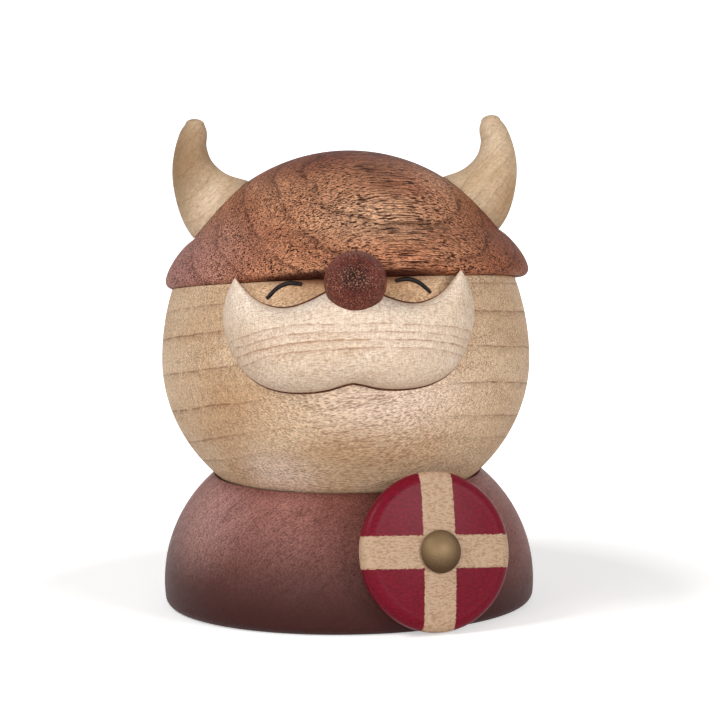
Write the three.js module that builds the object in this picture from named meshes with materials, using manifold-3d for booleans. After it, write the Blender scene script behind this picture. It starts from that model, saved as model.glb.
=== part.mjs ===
// A small turned and carved wooden viking: a ball head that turns in a dished body,
// a walnut cap with two horns, a carved moustache, a ball nose, and a painted shield
// that turns on one brass nail.
//
// Millimetres, +Z up. The origin is the centre of the foot, on the ground.
// The face looks along -Y, and +X is on the viewer's right.

import * as THREE from 'three';
import { mergeVertices } from 'three/addons/utils/BufferGeometryUtils.js';
import Module from 'manifold-3d';

const wasm = await Module();
wasm.setup();

// Clearances
const glueGap = 0.3;            // between pieces that are glued or pegged together
const seatGap = 0.3;            // between the head and the dish that it turns in
const shieldGap = 0.4;          // between the shield's back and the body
const floorGap = 0.15;          // below the shield's lower edge
const cutPast = 1.0;            // a cutter reaches this far past the face that it opens

// Body, a turned dome with a dished top
const torsoRadius = 39.05;      // at its widest
const torsoWidestHeight = 5.0;
const flankRadius = 29.9;       // the side's arc, seen from the front
const footRound = 2.3;          // the rounded lower edge
const rimHeight = 28.25;        // top of the dish's rim
const seatDepth = 10.25;        // how far the head's underside sinks below the rim

// Head, a turned ball that is a little flatter below than above
const headInset = 0.3;          // its side lies this far inside the body's
const chinDrop = 34.1;          // centre down to the lowest point
const crownRise = 43.9;         // centre up to the highest point, if it were whole
const capPlane = 15.6;          // the flat that the cap is glued to, above the centre

// How the face and the cap sit on the ball, in degrees
const tiltBack = 9.5;
const leanLeft = 1.0;
const turnRight = 2.0;

// Walnut cap, turned, with a flared brim
const capShift = 0.9;           // the cap is glued this far to the right of the ball's axis
const brimFlare = 6.3;          // the brim stands this far past the dome
const domeRise = 17.65;         // from there to the top
const brimInset = 0.45;         // the brim's radius is this much less than the ball's
const brimHeight = 10.3;        // from the underside to the dome
const lipRound = 1.6;           // the brim's rounded lower lip
const brimBulge = [-0.05, 4.0, -3.6, 8.9]; // two handles of the brim's curve, from the lip's edge

// Horns: the two edges of a horn as the front shows them, from root to tip, measured
// outward and upward from where the dome meets the brim
const hornOuterEdge = [
  [-2.7, -2.9], [0.9, 0.9], [2.9, 4.7], [4.1, 9.4], [4.4, 13.6], [3.8, 17.6], [2.6, 21.0], [0.5, 23.6],
];
const hornInnerEdge = [
  [-17.5, 9.2], [-11.5, 11.3], [-7.1, 12.8], [-4.2, 15.3], [-3.1, 18.2], [-3.25, 20.6], [-3.15, 22.1],
  [-1.9, 23.5],
];
const hornShift = 0.35;         // both horns stand this far further to the right than the cap
const hornTipRound = 0.55;      // how far the end bulges past the last section
const hornTipShares = [[0.8, 0.55], [0.42, 0.92]]; // the bulge's sections, as shares of width and reach
const hornFlatShare = 0.82;     // front-to-back depth as a share of the width
const leftHornTaller = 1.416;   // how much higher the left horn's tip stands than the edges here give
const rightHornTaller = 0;

// Moustache: the two edges of its right half as the front shows them, from the middle to the tip
const moustacheTopEdge = [
  [0, 13.9], [4.0, 13.1], [7.6, 11.5], [11.2, 10.3], [14.3, 10.1], [17.6, 11.1], [20.2, 12.9],
  [21.9, 15.0], [23.1, 16.7],
];
const moustacheLowEdge = [
  [0, -5.5], [2.0, -5.9], [5.6, -6.8], [10.4, -7.1], [15.2, -6.5], [19.2, -4.8], [22.3, -1.9],
  [24.4, 2.1],
  [25.5, 5.8], [25.8, 8.9], [25.3, 12.0], [24.4, 14.8], [23.4, 16.7],
];
const moustacheEdge = 0.9;      // how far its rim stands off the ball
const moustacheFullness = 6.2;  // how much more it swells in the middle of a lobe
const moustacheDip = 0.22;      // how much less it swells under the nose, as a share
const moustacheTipLift = 5.0;   // the tips' rim stands this far off the ball, ahead of the brim
const moustacheTipSwell = 1.4;
const moustacheTipStart = 0.62; // where a lobe starts to lift towards its tip, as a share of its length
const moustacheRoundness = 2.3; // 2 gives a round section, more a squarer one
const moustacheBuried = 1.5;    // its uncut back starts this far inside the ball

// Nose, a ball let into the brim and the moustache
const noseRadius = 6.45;
const noseShift = 1.2;          // to the right of the face's middle
const noseHeight = 14.9;
const noseStandOut = 2.25;      // its centre lies this far outside the ball's widest circle

// Eyes, two cut and blackened arcs: the right eye's line, from inner to outer end
const eyeLine = [[9.6, 14.55], [12.2, 14.95], [14.7, 13.9], [16.8, 12.0]];
const eyeWidth = 0.85;

// Shield, a turned disc with a domed front
const shieldRadius = 16.65;
const shieldThickness = 4.5;
const shieldDome = 0.9;         // how far the middle stands ahead of the rolled edge's start
const shieldRollIn = 2.7;       // the rolled front edge, inward from the rim
const shieldRollDown = 2.0;     // and back from the front
const shieldBackRound = 1.2;
const shieldTurn = 23.6;        // the way it faces, in degrees to the right
const shieldLean = 11.0;        // how far it leans back, in degrees
const shieldSlide = 2.2;        // its centre lies this far to the right of where it touches the body

// Brass nail
const nailHeadRadius = 4.58;
const nailHeadHeight = 2.6;
const nailShankRadius = 1.0;
const nailGrip = 10.0;          // the shank's length beyond the shield's back

// Hidden beech dowels and pegs
const neckDowelRadius = 5.0;
const neckDowelInTorso = 12.0;
const neckDowelInHead = 14.0;
const capDowelRadius = 4.0;
const capDowelInHead = 13.0;
const capDowelInCap = 12.0;
const hornDowelRadius = 2.3;
const hornDowelHalf = 6.5;
const hornDowelIn = 4.0;        // it crosses the dome this far inside the dome's edge
const nosePegRadius = 1.2;
const nosePegDrop = 3.4;        // below the nose's centre
const nosePegInHead = 9.0;
const nosePegPastCentre = 1.6;  // how far past the nose's centre it reaches
const moustachePegRadius = 1.5;
const moustachePegOut = 11.0;
const moustachePegHeight = 3.0;
const moustachePegInHead = 8.0;
const moustachePegInMoustache = 4.0;
const socketSlack = 0.5;        // a socket is this much deeper than its dowel

// How finely round things are cut
const roundSides = 48;
const shieldSides = 40;
const dowelSides = 20;
const eyeSides = 8;
const eyeSteps = 12;

// Places that follow from the sizes
const headHeight = rimHeight - seatDepth + chinDrop;
const flankCentre = torsoRadius - flankRadius;
const headRadius = torsoRadius - headInset;
const brimRadius = headRadius - brimInset;
const domeRadius = brimRadius - brimFlare;
const noseReach = headRadius + noseStandOut;
const capUnderside = capPlane + glueGap;
const domeFoot = capUnderside + brimHeight;
const domeSphere = (domeRadius ** 2 + domeRise ** 2) / (2 * domeRise);
const nosePegHeight = noseHeight - nosePegDrop;

const radians = THREE.MathUtils.degToRad;
const faceTurn = new THREE.Euler(radians(-tiltBack), radians(-leanLeft), radians(turnRight), 'ZXY');
const faceMatrix = new THREE.Matrix4().makeRotationFromEuler(faceTurn);

const walnut = { color: 0x7a4630, roughness: 0.62, metalness: 0 };
const darkWalnut = { color: 0x5a3330, roughness: 0.65, metalness: 0 };
const maple = { color: 0xc9a67c, roughness: 0.6, metalness: 0 };
const paleMaple = { color: 0xe0c8a6, roughness: 0.6, metalness: 0 };
const crimson = { color: 0x7d1a2c, roughness: 0.45, metalness: 0 };
const brass = { color: 0x7c5c38, roughness: 0.38, metalness: 0.9 };
const beech = { color: 0xc8a173, roughness: 0.7, metalness: 0 };

/** A closed solid from any closed three.js geometry, with shared corners merged. */
function solidOf(geometry) {
  const bare = new THREE.BufferGeometry();
  bare.setAttribute('position', geometry.getAttribute('position').clone());
  bare.setIndex(geometry.index ? geometry.index.clone() : null);
  const merged = mergeVertices(bare, 1e-4);
  const corners = merged.index.array;
  const triangles = [];
  for (let i = 0; i < corners.length; i += 3) {
    const [a, b, c] = corners.slice(i, i + 3);
    if (a !== b && b !== c && c !== a) triangles.push(a, b, c);
  }
  const vertProperties = new Float32Array(merged.getAttribute('position').array);
  const triVerts = new Uint32Array(triangles);
  return new wasm.Manifold(new wasm.Mesh({ numProp: 3, vertProperties, triVerts }));
}

/** The three.js geometry of a solid. */
function geometryOf(solid) {
  const mesh = solid.getMesh();
  const geometry = new THREE.BufferGeometry();
  const positions = new Float32Array(mesh.numVert * 3);
  for (let i = 0; i < mesh.numVert; i += 1) {
    for (let k = 0; k < 3; k += 1) positions[i * 3 + k] = mesh.vertProperties[i * mesh.numProp + k];
  }
  geometry.setAttribute('position', new THREE.BufferAttribute(positions, 3));
  geometry.setIndex([...mesh.triVerts]);
  geometry.computeVertexNormals();
  return geometry;
}

/** Cuts every tool out of a body. */
function cut(body, ...tools) {
  return tools.reduce((rest, tool) => rest.subtract(tool), body);
}

/** Points of an arc in the (radius, height) plane, angles in radians. */
function arc(centreR, centreZ, radius, from, to, steps) {
  const points = [];
  for (let i = 0; i <= steps; i += 1) {
    const angle = from + ((to - from) * i) / steps;
    const [r, z] = [centreR + radius * Math.cos(angle), centreZ + radius * Math.sin(angle)];
    points.push(new THREE.Vector2(r, z));
  }
  return points;
}

/** A piece turned about Z from a profile that runs from its lowest point on the axis to its highest. */
function turned(points, sides = roundSides) {
  const profile = points.map((p) => new THREE.Vector2(Math.max(p.x, 0), p.y));
  const geometry = new THREE.LatheGeometry(profile, sides);
  geometry.rotateX(Math.PI / 2);
  return geometry;
}

/** A round rod from one point to another. */
function rod(from, to, radius, sides = dowelSides) {
  const along = new THREE.Vector3().subVectors(to, from);
  const geometry = new THREE.CylinderGeometry(radius, radius, along.length(), sides);
  const way = along.clone().normalize();
  geometry.applyQuaternion(new THREE.Quaternion().setFromUnitVectors(new THREE.Vector3(0, 1, 0), way));
  geometry.translate(...new THREE.Vector3().addVectors(from, to).multiplyScalar(0.5).toArray());
  return geometry;
}

/** A named mesh with its own material. */
function piece(name, geometry, look) {
  const mesh = new THREE.Mesh(geometry, new THREE.MeshStandardMaterial(look));
  mesh.name = name;
  return mesh;
}

/** The ball's surface grown by an allowance, as a turned solid about its own centre. */
function ballGeometry(allowance) {
  const steps = 12;
  const points = [];
  for (let i = 0; i <= 2 * steps; i += 1) {
    const angle = -Math.PI / 2 + (Math.PI * i) / (2 * steps);
    const rise = (angle < 0 ? chinDrop : crownRise) + allowance;
    points.push(new THREE.Vector2((headRadius + allowance) * Math.cos(angle), rise * Math.sin(angle)));
  }
  return turned(points);
}

/** How far forward the ball's surface lies at a place on the face, as a negative y. */
function ballFront(x, height) {
  let outside = -2 * headRadius;
  let inside = 0;
  for (let i = 0; i < 40; i += 1) {
    const middle = (outside + inside) / 2;
    const p = new THREE.Vector3(x, middle, height).applyMatrix4(faceMatrix);
    const rise = p.z < 0 ? chinDrop : crownRise;
    const reach = (p.x ** 2 + p.y ** 2) / headRadius ** 2 + (p.z / rise) ** 2;
    if (reach > 1) outside = middle;
    else inside = middle;
  }
  return (outside + inside) / 2;
}

/** The cap's turned shape in the face's frame, grown by an allowance. */
function capGeometry(allowance) {
  const lipCentre = new THREE.Vector2(brimRadius - lipRound, capUnderside + lipRound);
  const brimCurve = new THREE.CubicBezierCurve(
    new THREE.Vector2(brimRadius, lipCentre.y),
    new THREE.Vector2(brimRadius + brimBulge[0], capUnderside + brimBulge[1]),
    new THREE.Vector2(brimRadius + brimBulge[2], capUnderside + brimBulge[3]),
    new THREE.Vector2(domeRadius, domeFoot),
  );
  const brimSteps = 8;
  const brim = brimCurve.getPoints(brimSteps);
  const grown = brim.map((p, i) => {
    const way = brimCurve.getTangent(i / brimSteps);
    return new THREE.Vector2(p.x + way.y * allowance, p.y - way.x * allowance);
  });
  const domeCentre = domeFoot + domeRise - domeSphere;
  const domeEdge = Math.asin(domeRadius / domeSphere);
  const dome = arc(0, domeCentre, domeSphere + allowance, Math.PI / 2 - domeEdge, Math.PI / 2, 9);
  const lip = arc(lipCentre.x, lipCentre.y, lipRound + allowance, -Math.PI / 2, 0, 4);
  const corner = allowance > 0 ? [] : [grown[brimSteps]];
  const foot = new THREE.Vector2(0, capUnderside - allowance);
  const profile = [foot, ...lip, ...grown.slice(1, brimSteps), ...corner, ...dome.slice(1)];
  const geometry = turned(profile);
  geometry.translate(capShift, 0, 0);
  return geometry;
}

/** The nose in the face's frame, grown by an allowance. */
function noseBall(allowance) {
  const geometry = new THREE.SphereGeometry(noseRadius + allowance, 28, 18);
  geometry.rotateX(Math.PI / 2);
  geometry.translate(noseShift, -noseReach, noseHeight);
  return geometry;
}

/** Ends of the short straight rods that hold the face together, in the face's frame. */
function faceRods() {
  const noseSurface = ballFront(noseShift, nosePegHeight);
  const rods = {
    nose_peg: {
      from: new THREE.Vector3(noseShift, -noseReach - nosePegPastCentre, nosePegHeight),
      to: new THREE.Vector3(noseShift, noseSurface + nosePegInHead, nosePegHeight),
      radius: nosePegRadius,
    },
    cap_dowel: {
      from: new THREE.Vector3(capShift, 0, capPlane - capDowelInHead),
      to: new THREE.Vector3(capShift, 0, capUnderside + capDowelInCap),
      radius: capDowelRadius,
    },
  };
  for (const [side, way] of [['left', -1], ['right', 1]]) {
    const x = way * moustachePegOut;
    const surface = ballFront(x, moustachePegHeight);
    rods[`moustache_peg_${side}`] = {
      from: new THREE.Vector3(x, surface - moustachePegInMoustache, moustachePegHeight),
      to: new THREE.Vector3(x, surface + moustachePegInHead, moustachePegHeight),
      radius: moustachePegRadius,
    };
    const slope = Math.asin((domeRadius - hornDowelIn) / domeSphere);
    const outward = new THREE.Vector3(way * Math.sin(slope), 0, Math.cos(slope));
    const domeCentre = new THREE.Vector3(capShift, 0, domeFoot + domeRise - domeSphere);
    const crossing = domeCentre.addScaledVector(outward, domeSphere);
    rods[`horn_dowel_${side}`] = {
      from: crossing.clone().addScaledVector(outward, -hornDowelHalf),
      to: crossing.clone().addScaledVector(outward, hornDowelHalf),
      radius: hornDowelRadius,
    };
  }
  return rods;
}

const rods = faceRods();

/** The hole that one of the face's rods sits in. */
function socketOf(name) {
  const { from, to, radius } = rods[name];
  const way = new THREE.Vector3().subVectors(to, from).normalize().multiplyScalar(socketSlack);
  return rod(from.clone().sub(way), to.clone().add(way), radius + glueGap);
}

/** A tube of one width along points on the ball, used to cut an eye. */
function eyeCutter(way) {
  const flat = new THREE.SplineCurve(eyeLine.map(([x, z]) => new THREE.Vector2(way * x, z)));
  const onBall = flat.getPoints(eyeSteps).map((p) => new THREE.Vector3(p.x, ballFront(p.x, p.y), p.y));
  const lastCorner = 2 * Math.PI * (1 - 1 / eyeSides);
  const section = new THREE.Shape(arc(0, 0, eyeWidth / 2, 0, lastCorner, eyeSides - 1));
  const extrudePath = new THREE.CatmullRomCurve3(onBall);
  return new THREE.ExtrudeGeometry(section, { extrudePath, steps: eyeSteps });
}

/** Joins closed rings of points, all of one length, into a closed skin with flat ends. */
function loft(rings) {
  const count = rings[0].length;
  const positions = [];
  const index = [];
  for (const ring of rings) for (const p of ring) positions.push(p.x, p.y, p.z);
  for (let i = 0; i + 1 < rings.length; i += 1) {
    for (let k = 0; k < count; k += 1) {
      const a = i * count + k;
      const b = i * count + ((k + 1) % count);
      index.push(a, b, b + count, a, b + count, a + count);
    }
  }
  for (const [ring, flip] of [[0, true], [rings.length - 1, false]]) {
    const middle = new THREE.Vector3();
    for (const p of rings[ring]) middle.addScaledVector(p, 1 / count);
    const hub = positions.length / 3;
    positions.push(middle.x, middle.y, middle.z);
    for (let k = 0; k < count; k += 1) {
      const a = ring * count + k;
      const b = ring * count + ((k + 1) % count);
      if (flip) index.push(hub, b, a);
      else index.push(hub, a, b);
    }
  }
  const geometry = new THREE.BufferGeometry();
  geometry.setAttribute('position', new THREE.Float32BufferAttribute(positions, 3));
  geometry.setIndex(index);
  return geometry;
}

/** One horn, swelling from its rounded tip to a root that runs into the dome. */
function hornGeometry(way, taller) {
  const stretch = 1 + taller / hornOuterEdge.at(-1)[1];
  const lift = ([out, up]) => new THREE.Vector2(domeRadius + out, domeFoot + up * (up > 0 ? stretch : 1));
  const outer = new THREE.SplineCurve(hornOuterEdge.map(lift));
  const inner = new THREE.SplineCurve(hornInnerEdge.map(lift));
  const sections = 18;
  const sides = 16;
  const rings = [];
  const addRing = (a, b, shrink, push) => {
    const middle = new THREE.Vector2().addVectors(a, b).multiplyScalar(0.5).add(push);
    const half = new THREE.Vector2().subVectors(a, b).multiplyScalar(0.5 * shrink);
    const ring = [];
    for (let k = 0; k < sides; k += 1) {
      const angle = (way * 2 * Math.PI * k) / sides;
      const across = middle.clone().addScaledVector(half, Math.cos(angle));
      const x = way * across.x + capShift + hornShift;
      ring.push(new THREE.Vector3(x, half.length() * hornFlatShare * Math.sin(angle), across.y));
    }
    rings.push(ring);
  };
  const still = new THREE.Vector2();
  for (let i = 0; i <= sections; i += 1) {
    addRing(outer.getPoint(i / sections), inner.getPoint(i / sections), 1, still);
  }
  const [a, b] = [outer.getPoint(1), inner.getPoint(1)];
  const ahead = new THREE.Vector2(b.y - a.y, a.x - b.x).normalize();
  for (const [shrink, share] of hornTipShares) {
    addRing(a, b, shrink, ahead.clone().multiplyScalar(hornTipRound * share));
  }
  return loft(rings);
}

/** The moustache's skin, before the ball, brim and nose are cut out of its back. */
function moustacheGeometry() {
  const top = new THREE.SplineCurve(moustacheTopEdge.map(([x, z]) => new THREE.Vector2(x, z)));
  const low = new THREE.SplineCurve(moustacheLowEdge.map(([x, z]) => new THREE.Vector2(x, z)));
  const halfSections = 22;
  const across = 12;
  const rings = [];
  for (let i = halfSections; i >= -halfSections; i -= 1) {
    const share = Math.abs(i) / halfSections;
    const way = i < 0 ? -1 : 1;
    const a = top.getPointAt(share);
    const b = low.getPointAt(share);
    const tip = THREE.MathUtils.smoothstep(share, moustacheTipStart, 1);
    const rim = THREE.MathUtils.lerp(moustacheEdge, moustacheTipLift, tip);
    const dip = 1 - moustacheDip * (1 - share) ** 4;
    const swell = THREE.MathUtils.lerp(moustacheFullness, moustacheTipSwell, tip) * dip;
    const ring = [];
    for (let k = 0; k <= across; k += 1) {
      const v = (1 - Math.cos((Math.PI * k) / across)) / 2;
      const x = way * THREE.MathUtils.lerp(b.x, a.x, v);
      const z = THREE.MathUtils.lerp(b.y, a.y, v);
      const bulge = (1 - Math.abs(2 * v - 1) ** moustacheRoundness) ** (1 / moustacheRoundness);
      ring.push(new THREE.Vector3(x, ballFront(x, z) - rim - swell * bulge, z));
    }
    for (let k = across; k >= 0; k -= 1) {
      const v = (1 - Math.cos((Math.PI * k) / across)) / 2;
      const x = way * THREE.MathUtils.lerp(b.x, a.x, v);
      const z = THREE.MathUtils.lerp(b.y, a.y, v);
      ring.push(new THREE.Vector3(x, ballFront(x, z) + moustacheBuried, z));
    }
    rings.push(ring);
  }
  return loft(rings);
}

/** Where the shield's back is centred, and the way that its nail points. */
function shieldPlace() {
  const lean = radians(shieldLean);
  const round = radians(shieldTurn);
  const backHeight = floorGap + shieldRadius * Math.cos(lean);
  const reach = flankRadius + shieldGap;
  const slide = (backHeight - torsoWidestHeight - Math.sin(lean) * reach) / Math.cos(lean);
  const out = flankCentre + Math.cos(lean) * reach - Math.sin(lean) * slide;
  const front = new THREE.Vector3(Math.sin(round), -Math.cos(round), 0);
  const normal = front.clone().multiplyScalar(Math.cos(lean)).setZ(Math.sin(lean));
  const right = new THREE.Vector3(0, 0, 1).cross(normal).normalize();
  const up = new THREE.Vector3().crossVectors(normal, right);
  const matrix = new THREE.Matrix4().makeBasis(right, up, normal);
  matrix.setPosition(front.multiplyScalar(out).addScaledVector(right, shieldSlide).setZ(backHeight));
  return matrix;
}

const shieldMatrix = shieldPlace();

function torso() {
  const footDrop = footRound - torsoWidestHeight;
  const footCentre = flankCentre + Math.sqrt((flankRadius - footRound) ** 2 - footDrop ** 2);
  const join = Math.atan2(footDrop, footCentre - flankCentre);
  const rimAngle = Math.asin((rimHeight - torsoWidestHeight) / flankRadius);
  const foot = arc(footCentre, footRound, footRound, -Math.PI / 2, join, 5);
  const flank = arc(flankCentre, torsoWidestHeight, flankRadius, join, rimAngle, 13);
  const [bottom, top] = [new THREE.Vector2(0, 0), new THREE.Vector2(0, rimHeight)];
  const profile = [bottom, ...foot, ...flank.slice(1), top];
  const dish = ballGeometry(seatGap);
  dish.translate(0, 0, headHeight);
  const dishFloor = rimHeight - seatDepth - seatGap;
  const neckHole = rod(
    new THREE.Vector3(0, 0, dishFloor - neckDowelInTorso - socketSlack),
    new THREE.Vector3(0, 0, dishFloor + cutPast),
    neckDowelRadius + glueGap,
    roundSides / 2,
  );
  const nailHole = rod(
    new THREE.Vector3(0, 0, -nailGrip - socketSlack),
    new THREE.Vector3(0, 0, cutPast),
    nailShankRadius + glueGap,
    dowelSides,
  );
  nailHole.applyMatrix4(shieldMatrix);
  return geometryOf(cut(solidOf(turned(profile)), solidOf(dish), solidOf(neckHole), solidOf(nailHole)));
}

function neckDowel() {
  const dishFloor = rimHeight - seatDepth - seatGap;
  const chin = rimHeight - seatDepth;
  return rod(
    new THREE.Vector3(0, 0, dishFloor - neckDowelInTorso),
    new THREE.Vector3(0, 0, chin + neckDowelInHead),
    neckDowelRadius,
    roundSides / 2,
  );
}

function head() {
  const above = new THREE.BoxGeometry(4 * headRadius, 4 * headRadius, 2 * crownRise);
  above.translate(0, 0, capPlane + crownRise);
  const neckHole = rod(
    new THREE.Vector3(0, 0, -chinDrop - cutPast),
    new THREE.Vector3(0, 0, -chinDrop + neckDowelInHead + socketSlack),
    neckDowelRadius + seatGap,
    roundSides / 2,
  );
  const inFace = [above, noseBall(glueGap), eyeCutter(-1), eyeCutter(1)];
  for (const name of ['cap_dowel', 'nose_peg', 'moustache_peg_left', 'moustache_peg_right']) {
    inFace.push(socketOf(name));
  }
  const tools = inFace.map((geometry) => solidOf(geometry.applyMatrix4(faceMatrix)));
  return geometryOf(cut(solidOf(ballGeometry(0)), ...tools, solidOf(neckHole)));
}

function helmet() {
  const tools = [noseBall(glueGap)];
  for (const name of ['cap_dowel', 'horn_dowel_left', 'horn_dowel_right']) tools.push(socketOf(name));
  return geometryOf(cut(solidOf(capGeometry(0)), ...tools.map(solidOf)));
}

function horn(side, way, taller) {
  const tools = [capGeometry(glueGap), socketOf(`horn_dowel_${side}`)];
  return geometryOf(cut(solidOf(hornGeometry(way, taller)), ...tools.map(solidOf)));
}

function moustache() {
  const ball = ballGeometry(glueGap).applyMatrix4(faceMatrix.clone().invert());
  const tools = [ball, capGeometry(glueGap), noseBall(glueGap)];
  for (const name of ['nose_peg', 'moustache_peg_left', 'moustache_peg_right']) {
    tools.push(socketOf(name));
  }
  return geometryOf(cut(solidOf(moustacheGeometry()), ...tools.map(solidOf)));
}

function nose() {
  return geometryOf(cut(solidOf(noseBall(0)), solidOf(socketOf('nose_peg'))));
}

function shield() {
  const frontEdge = shieldThickness - shieldDome - shieldRollDown;
  const innerRadius = shieldRadius - shieldRollIn;
  const domeRound = (innerRadius ** 2 + shieldDome ** 2) / (2 * shieldDome);
  const domeAngle = Math.asin(innerRadius / domeRound);
  const roll = (p) => {
    const [r, z] = [innerRadius + p.x * shieldRollIn, frontEdge + p.y * shieldRollDown];
    return new THREE.Vector2(r, z);
  };
  const profile = [
    new THREE.Vector2(0, 0),
    ...arc(shieldRadius - shieldBackRound, shieldBackRound, shieldBackRound, -Math.PI / 2, 0, 3),
    ...arc(0, 0, 1, 0, Math.PI / 2, 5).map(roll),
    ...arc(0, shieldThickness - domeRound, domeRound, Math.PI / 2 - domeAngle, Math.PI / 2, 5).slice(1),
  ];
  const bore = rod(
    new THREE.Vector3(0, 0, -cutPast),
    new THREE.Vector3(0, 0, shieldThickness + cutPast),
    nailShankRadius + glueGap,
    dowelSides,
  );
  return geometryOf(cut(solidOf(turned(profile, shieldSides)), solidOf(bore)));
}

function nail() {
  const seat = shieldThickness + glueGap;
  const capRound = (nailHeadRadius ** 2 + nailHeadHeight ** 2) / (2 * nailHeadHeight);
  const capAngle = Math.asin(nailHeadRadius / capRound);
  const profile = [
    new THREE.Vector2(0, -nailGrip),
    new THREE.Vector2(nailShankRadius, -nailGrip + 2 * nailShankRadius),
    new THREE.Vector2(nailShankRadius, seat),
    ...arc(0, seat + nailHeadHeight - capRound, capRound, Math.PI / 2 - capAngle, Math.PI / 2, 8),
  ];
  return turned(profile, 28);
}

function buildFigure() {
  const figure = new THREE.Group();
  figure.add(piece('torso', torso(), darkWalnut));
  figure.add(piece('neck_dowel', neckDowel(), beech));

  const headGroup = new THREE.Group();
  headGroup.position.set(0, 0, headHeight);
  headGroup.add(piece('head', head(), maple));
  figure.add(headGroup);

  const face = new THREE.Group();
  face.rotation.copy(faceTurn);
  face.add(piece('helmet', helmet(), walnut));
  face.add(piece('horn_left', horn('left', -1, leftHornTaller), maple));
  face.add(piece('horn_right', horn('right', 1, rightHornTaller), maple));
  face.add(piece('moustache', moustache(), paleMaple));
  face.add(piece('nose', nose(), darkWalnut));
  for (const [name, { from, to, radius }] of Object.entries(rods)) {
    face.add(piece(name, rod(from, to, radius), beech));
  }
  headGroup.add(face);

  const shieldGroup = new THREE.Group();
  shieldMatrix.decompose(shieldGroup.position, shieldGroup.quaternion, shieldGroup.scale);
  shieldGroup.add(piece('shield', shield(), crimson));
  shieldGroup.add(piece('shield_nail', nail(), brass));
  figure.add(shieldGroup);
  return figure;
}

export default buildFigure();
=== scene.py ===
"""A small turned and carved wooden viking, dressed for its picture.

A ball head turns in a dished walnut body. On the head sit a walnut cap with two horns,
a carved moustache and a ball nose, and a painted round shield hangs on one brass nail.
Sizes are written in millimetres and angles in degrees. A mesh becomes metres when it is
finished. The face looks along -Y, +X is on the viewer's right and +Z is up.
"""

import logging
import math
from dataclasses import dataclass
from enum import Enum
from typing import Sequence

import bmesh
import bpy
from bmesh.types import BMEdge, BMesh, BMVert
from bpy.types import ID, Material, Node, NodeSocket, NodeTree, Object
from mathutils import Matrix, Vector


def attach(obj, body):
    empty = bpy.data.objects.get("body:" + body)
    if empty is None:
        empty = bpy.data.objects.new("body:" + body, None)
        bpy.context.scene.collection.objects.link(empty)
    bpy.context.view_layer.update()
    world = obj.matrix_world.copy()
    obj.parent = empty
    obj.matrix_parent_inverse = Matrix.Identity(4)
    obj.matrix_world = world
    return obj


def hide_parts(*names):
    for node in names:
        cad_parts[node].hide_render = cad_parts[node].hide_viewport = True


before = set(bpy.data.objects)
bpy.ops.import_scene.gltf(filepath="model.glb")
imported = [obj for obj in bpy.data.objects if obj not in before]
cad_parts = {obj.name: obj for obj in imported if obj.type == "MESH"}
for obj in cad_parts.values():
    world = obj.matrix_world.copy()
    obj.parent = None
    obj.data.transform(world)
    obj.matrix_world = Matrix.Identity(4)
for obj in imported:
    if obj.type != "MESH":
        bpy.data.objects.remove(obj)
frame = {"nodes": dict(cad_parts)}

MM = 0.001
FULL_TURN = 2 * math.pi

# Lengths: a glue line, the seam round a carved seat, how much deeper a socket is than its
# peg, how far outside a piece a drill starts, and how near two places are that count as one.
GLUE_GAP = 0.3
SEAM = 0.08
SOCKET_SLACK = 0.5
DRILL_PAST = 2.0
NEAR = 0.01

# Sides of a turned piece, from those that are seen most to those that only cut others, and
# of a drill for a dowel and for a thin peg.
FINE_SIDES = 192
PLAIN_SIDES = 160
CUTTER_SIDES = 128
ROD_SIDES = 32
PEG_SIDES = 24

log = logging.getLogger("viking")


class Side(Enum):
    """Which side of the face a piece is on, as the sign of its x."""

    LEFT = -1
    RIGHT = 1

    @property
    def word(self) -> str:
        """The side's name in small letters."""
        return self.name.lower()


# Curves and turned shapes


def arc(centre: tuple[float, float], radii: tuple[float, float], start: float, end: float,
        steps: int) -> list[Vector]:
    """Points of a circle or ellipse in the (radius, height) plane.

    Args:
        centre: Middle of the arc.
        radii: Its half width and half height.
        start: First angle in degrees, from the radius axis.
        end: Last angle in degrees.
        steps: Number of chords.

    Returns:
        The points from start to end.
    """
    angles = [math.radians(start + (end - start) * i / steps) for i in range(steps + 1)]
    return [Vector((centre[0] + radii[0] * math.cos(a), centre[1] + radii[1] * math.sin(a))) for a in angles]


def bezier(points: Sequence[tuple[float, float]], steps: int) -> list[Vector]:
    """Points of a cubic curve.

    Args:
        points: Start, two handles and end.
        steps: Number of chords.

    Returns:
        The points from start to end.
    """
    a, b, c, d = (Vector(p) for p in points)
    shares = [i / steps for i in range(steps + 1)]
    return [a * (1 - t) ** 3 + b * 3 * t * (1 - t) ** 2 + c * 3 * t * t * (1 - t) + d * t ** 3
            for t in shares]


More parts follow.
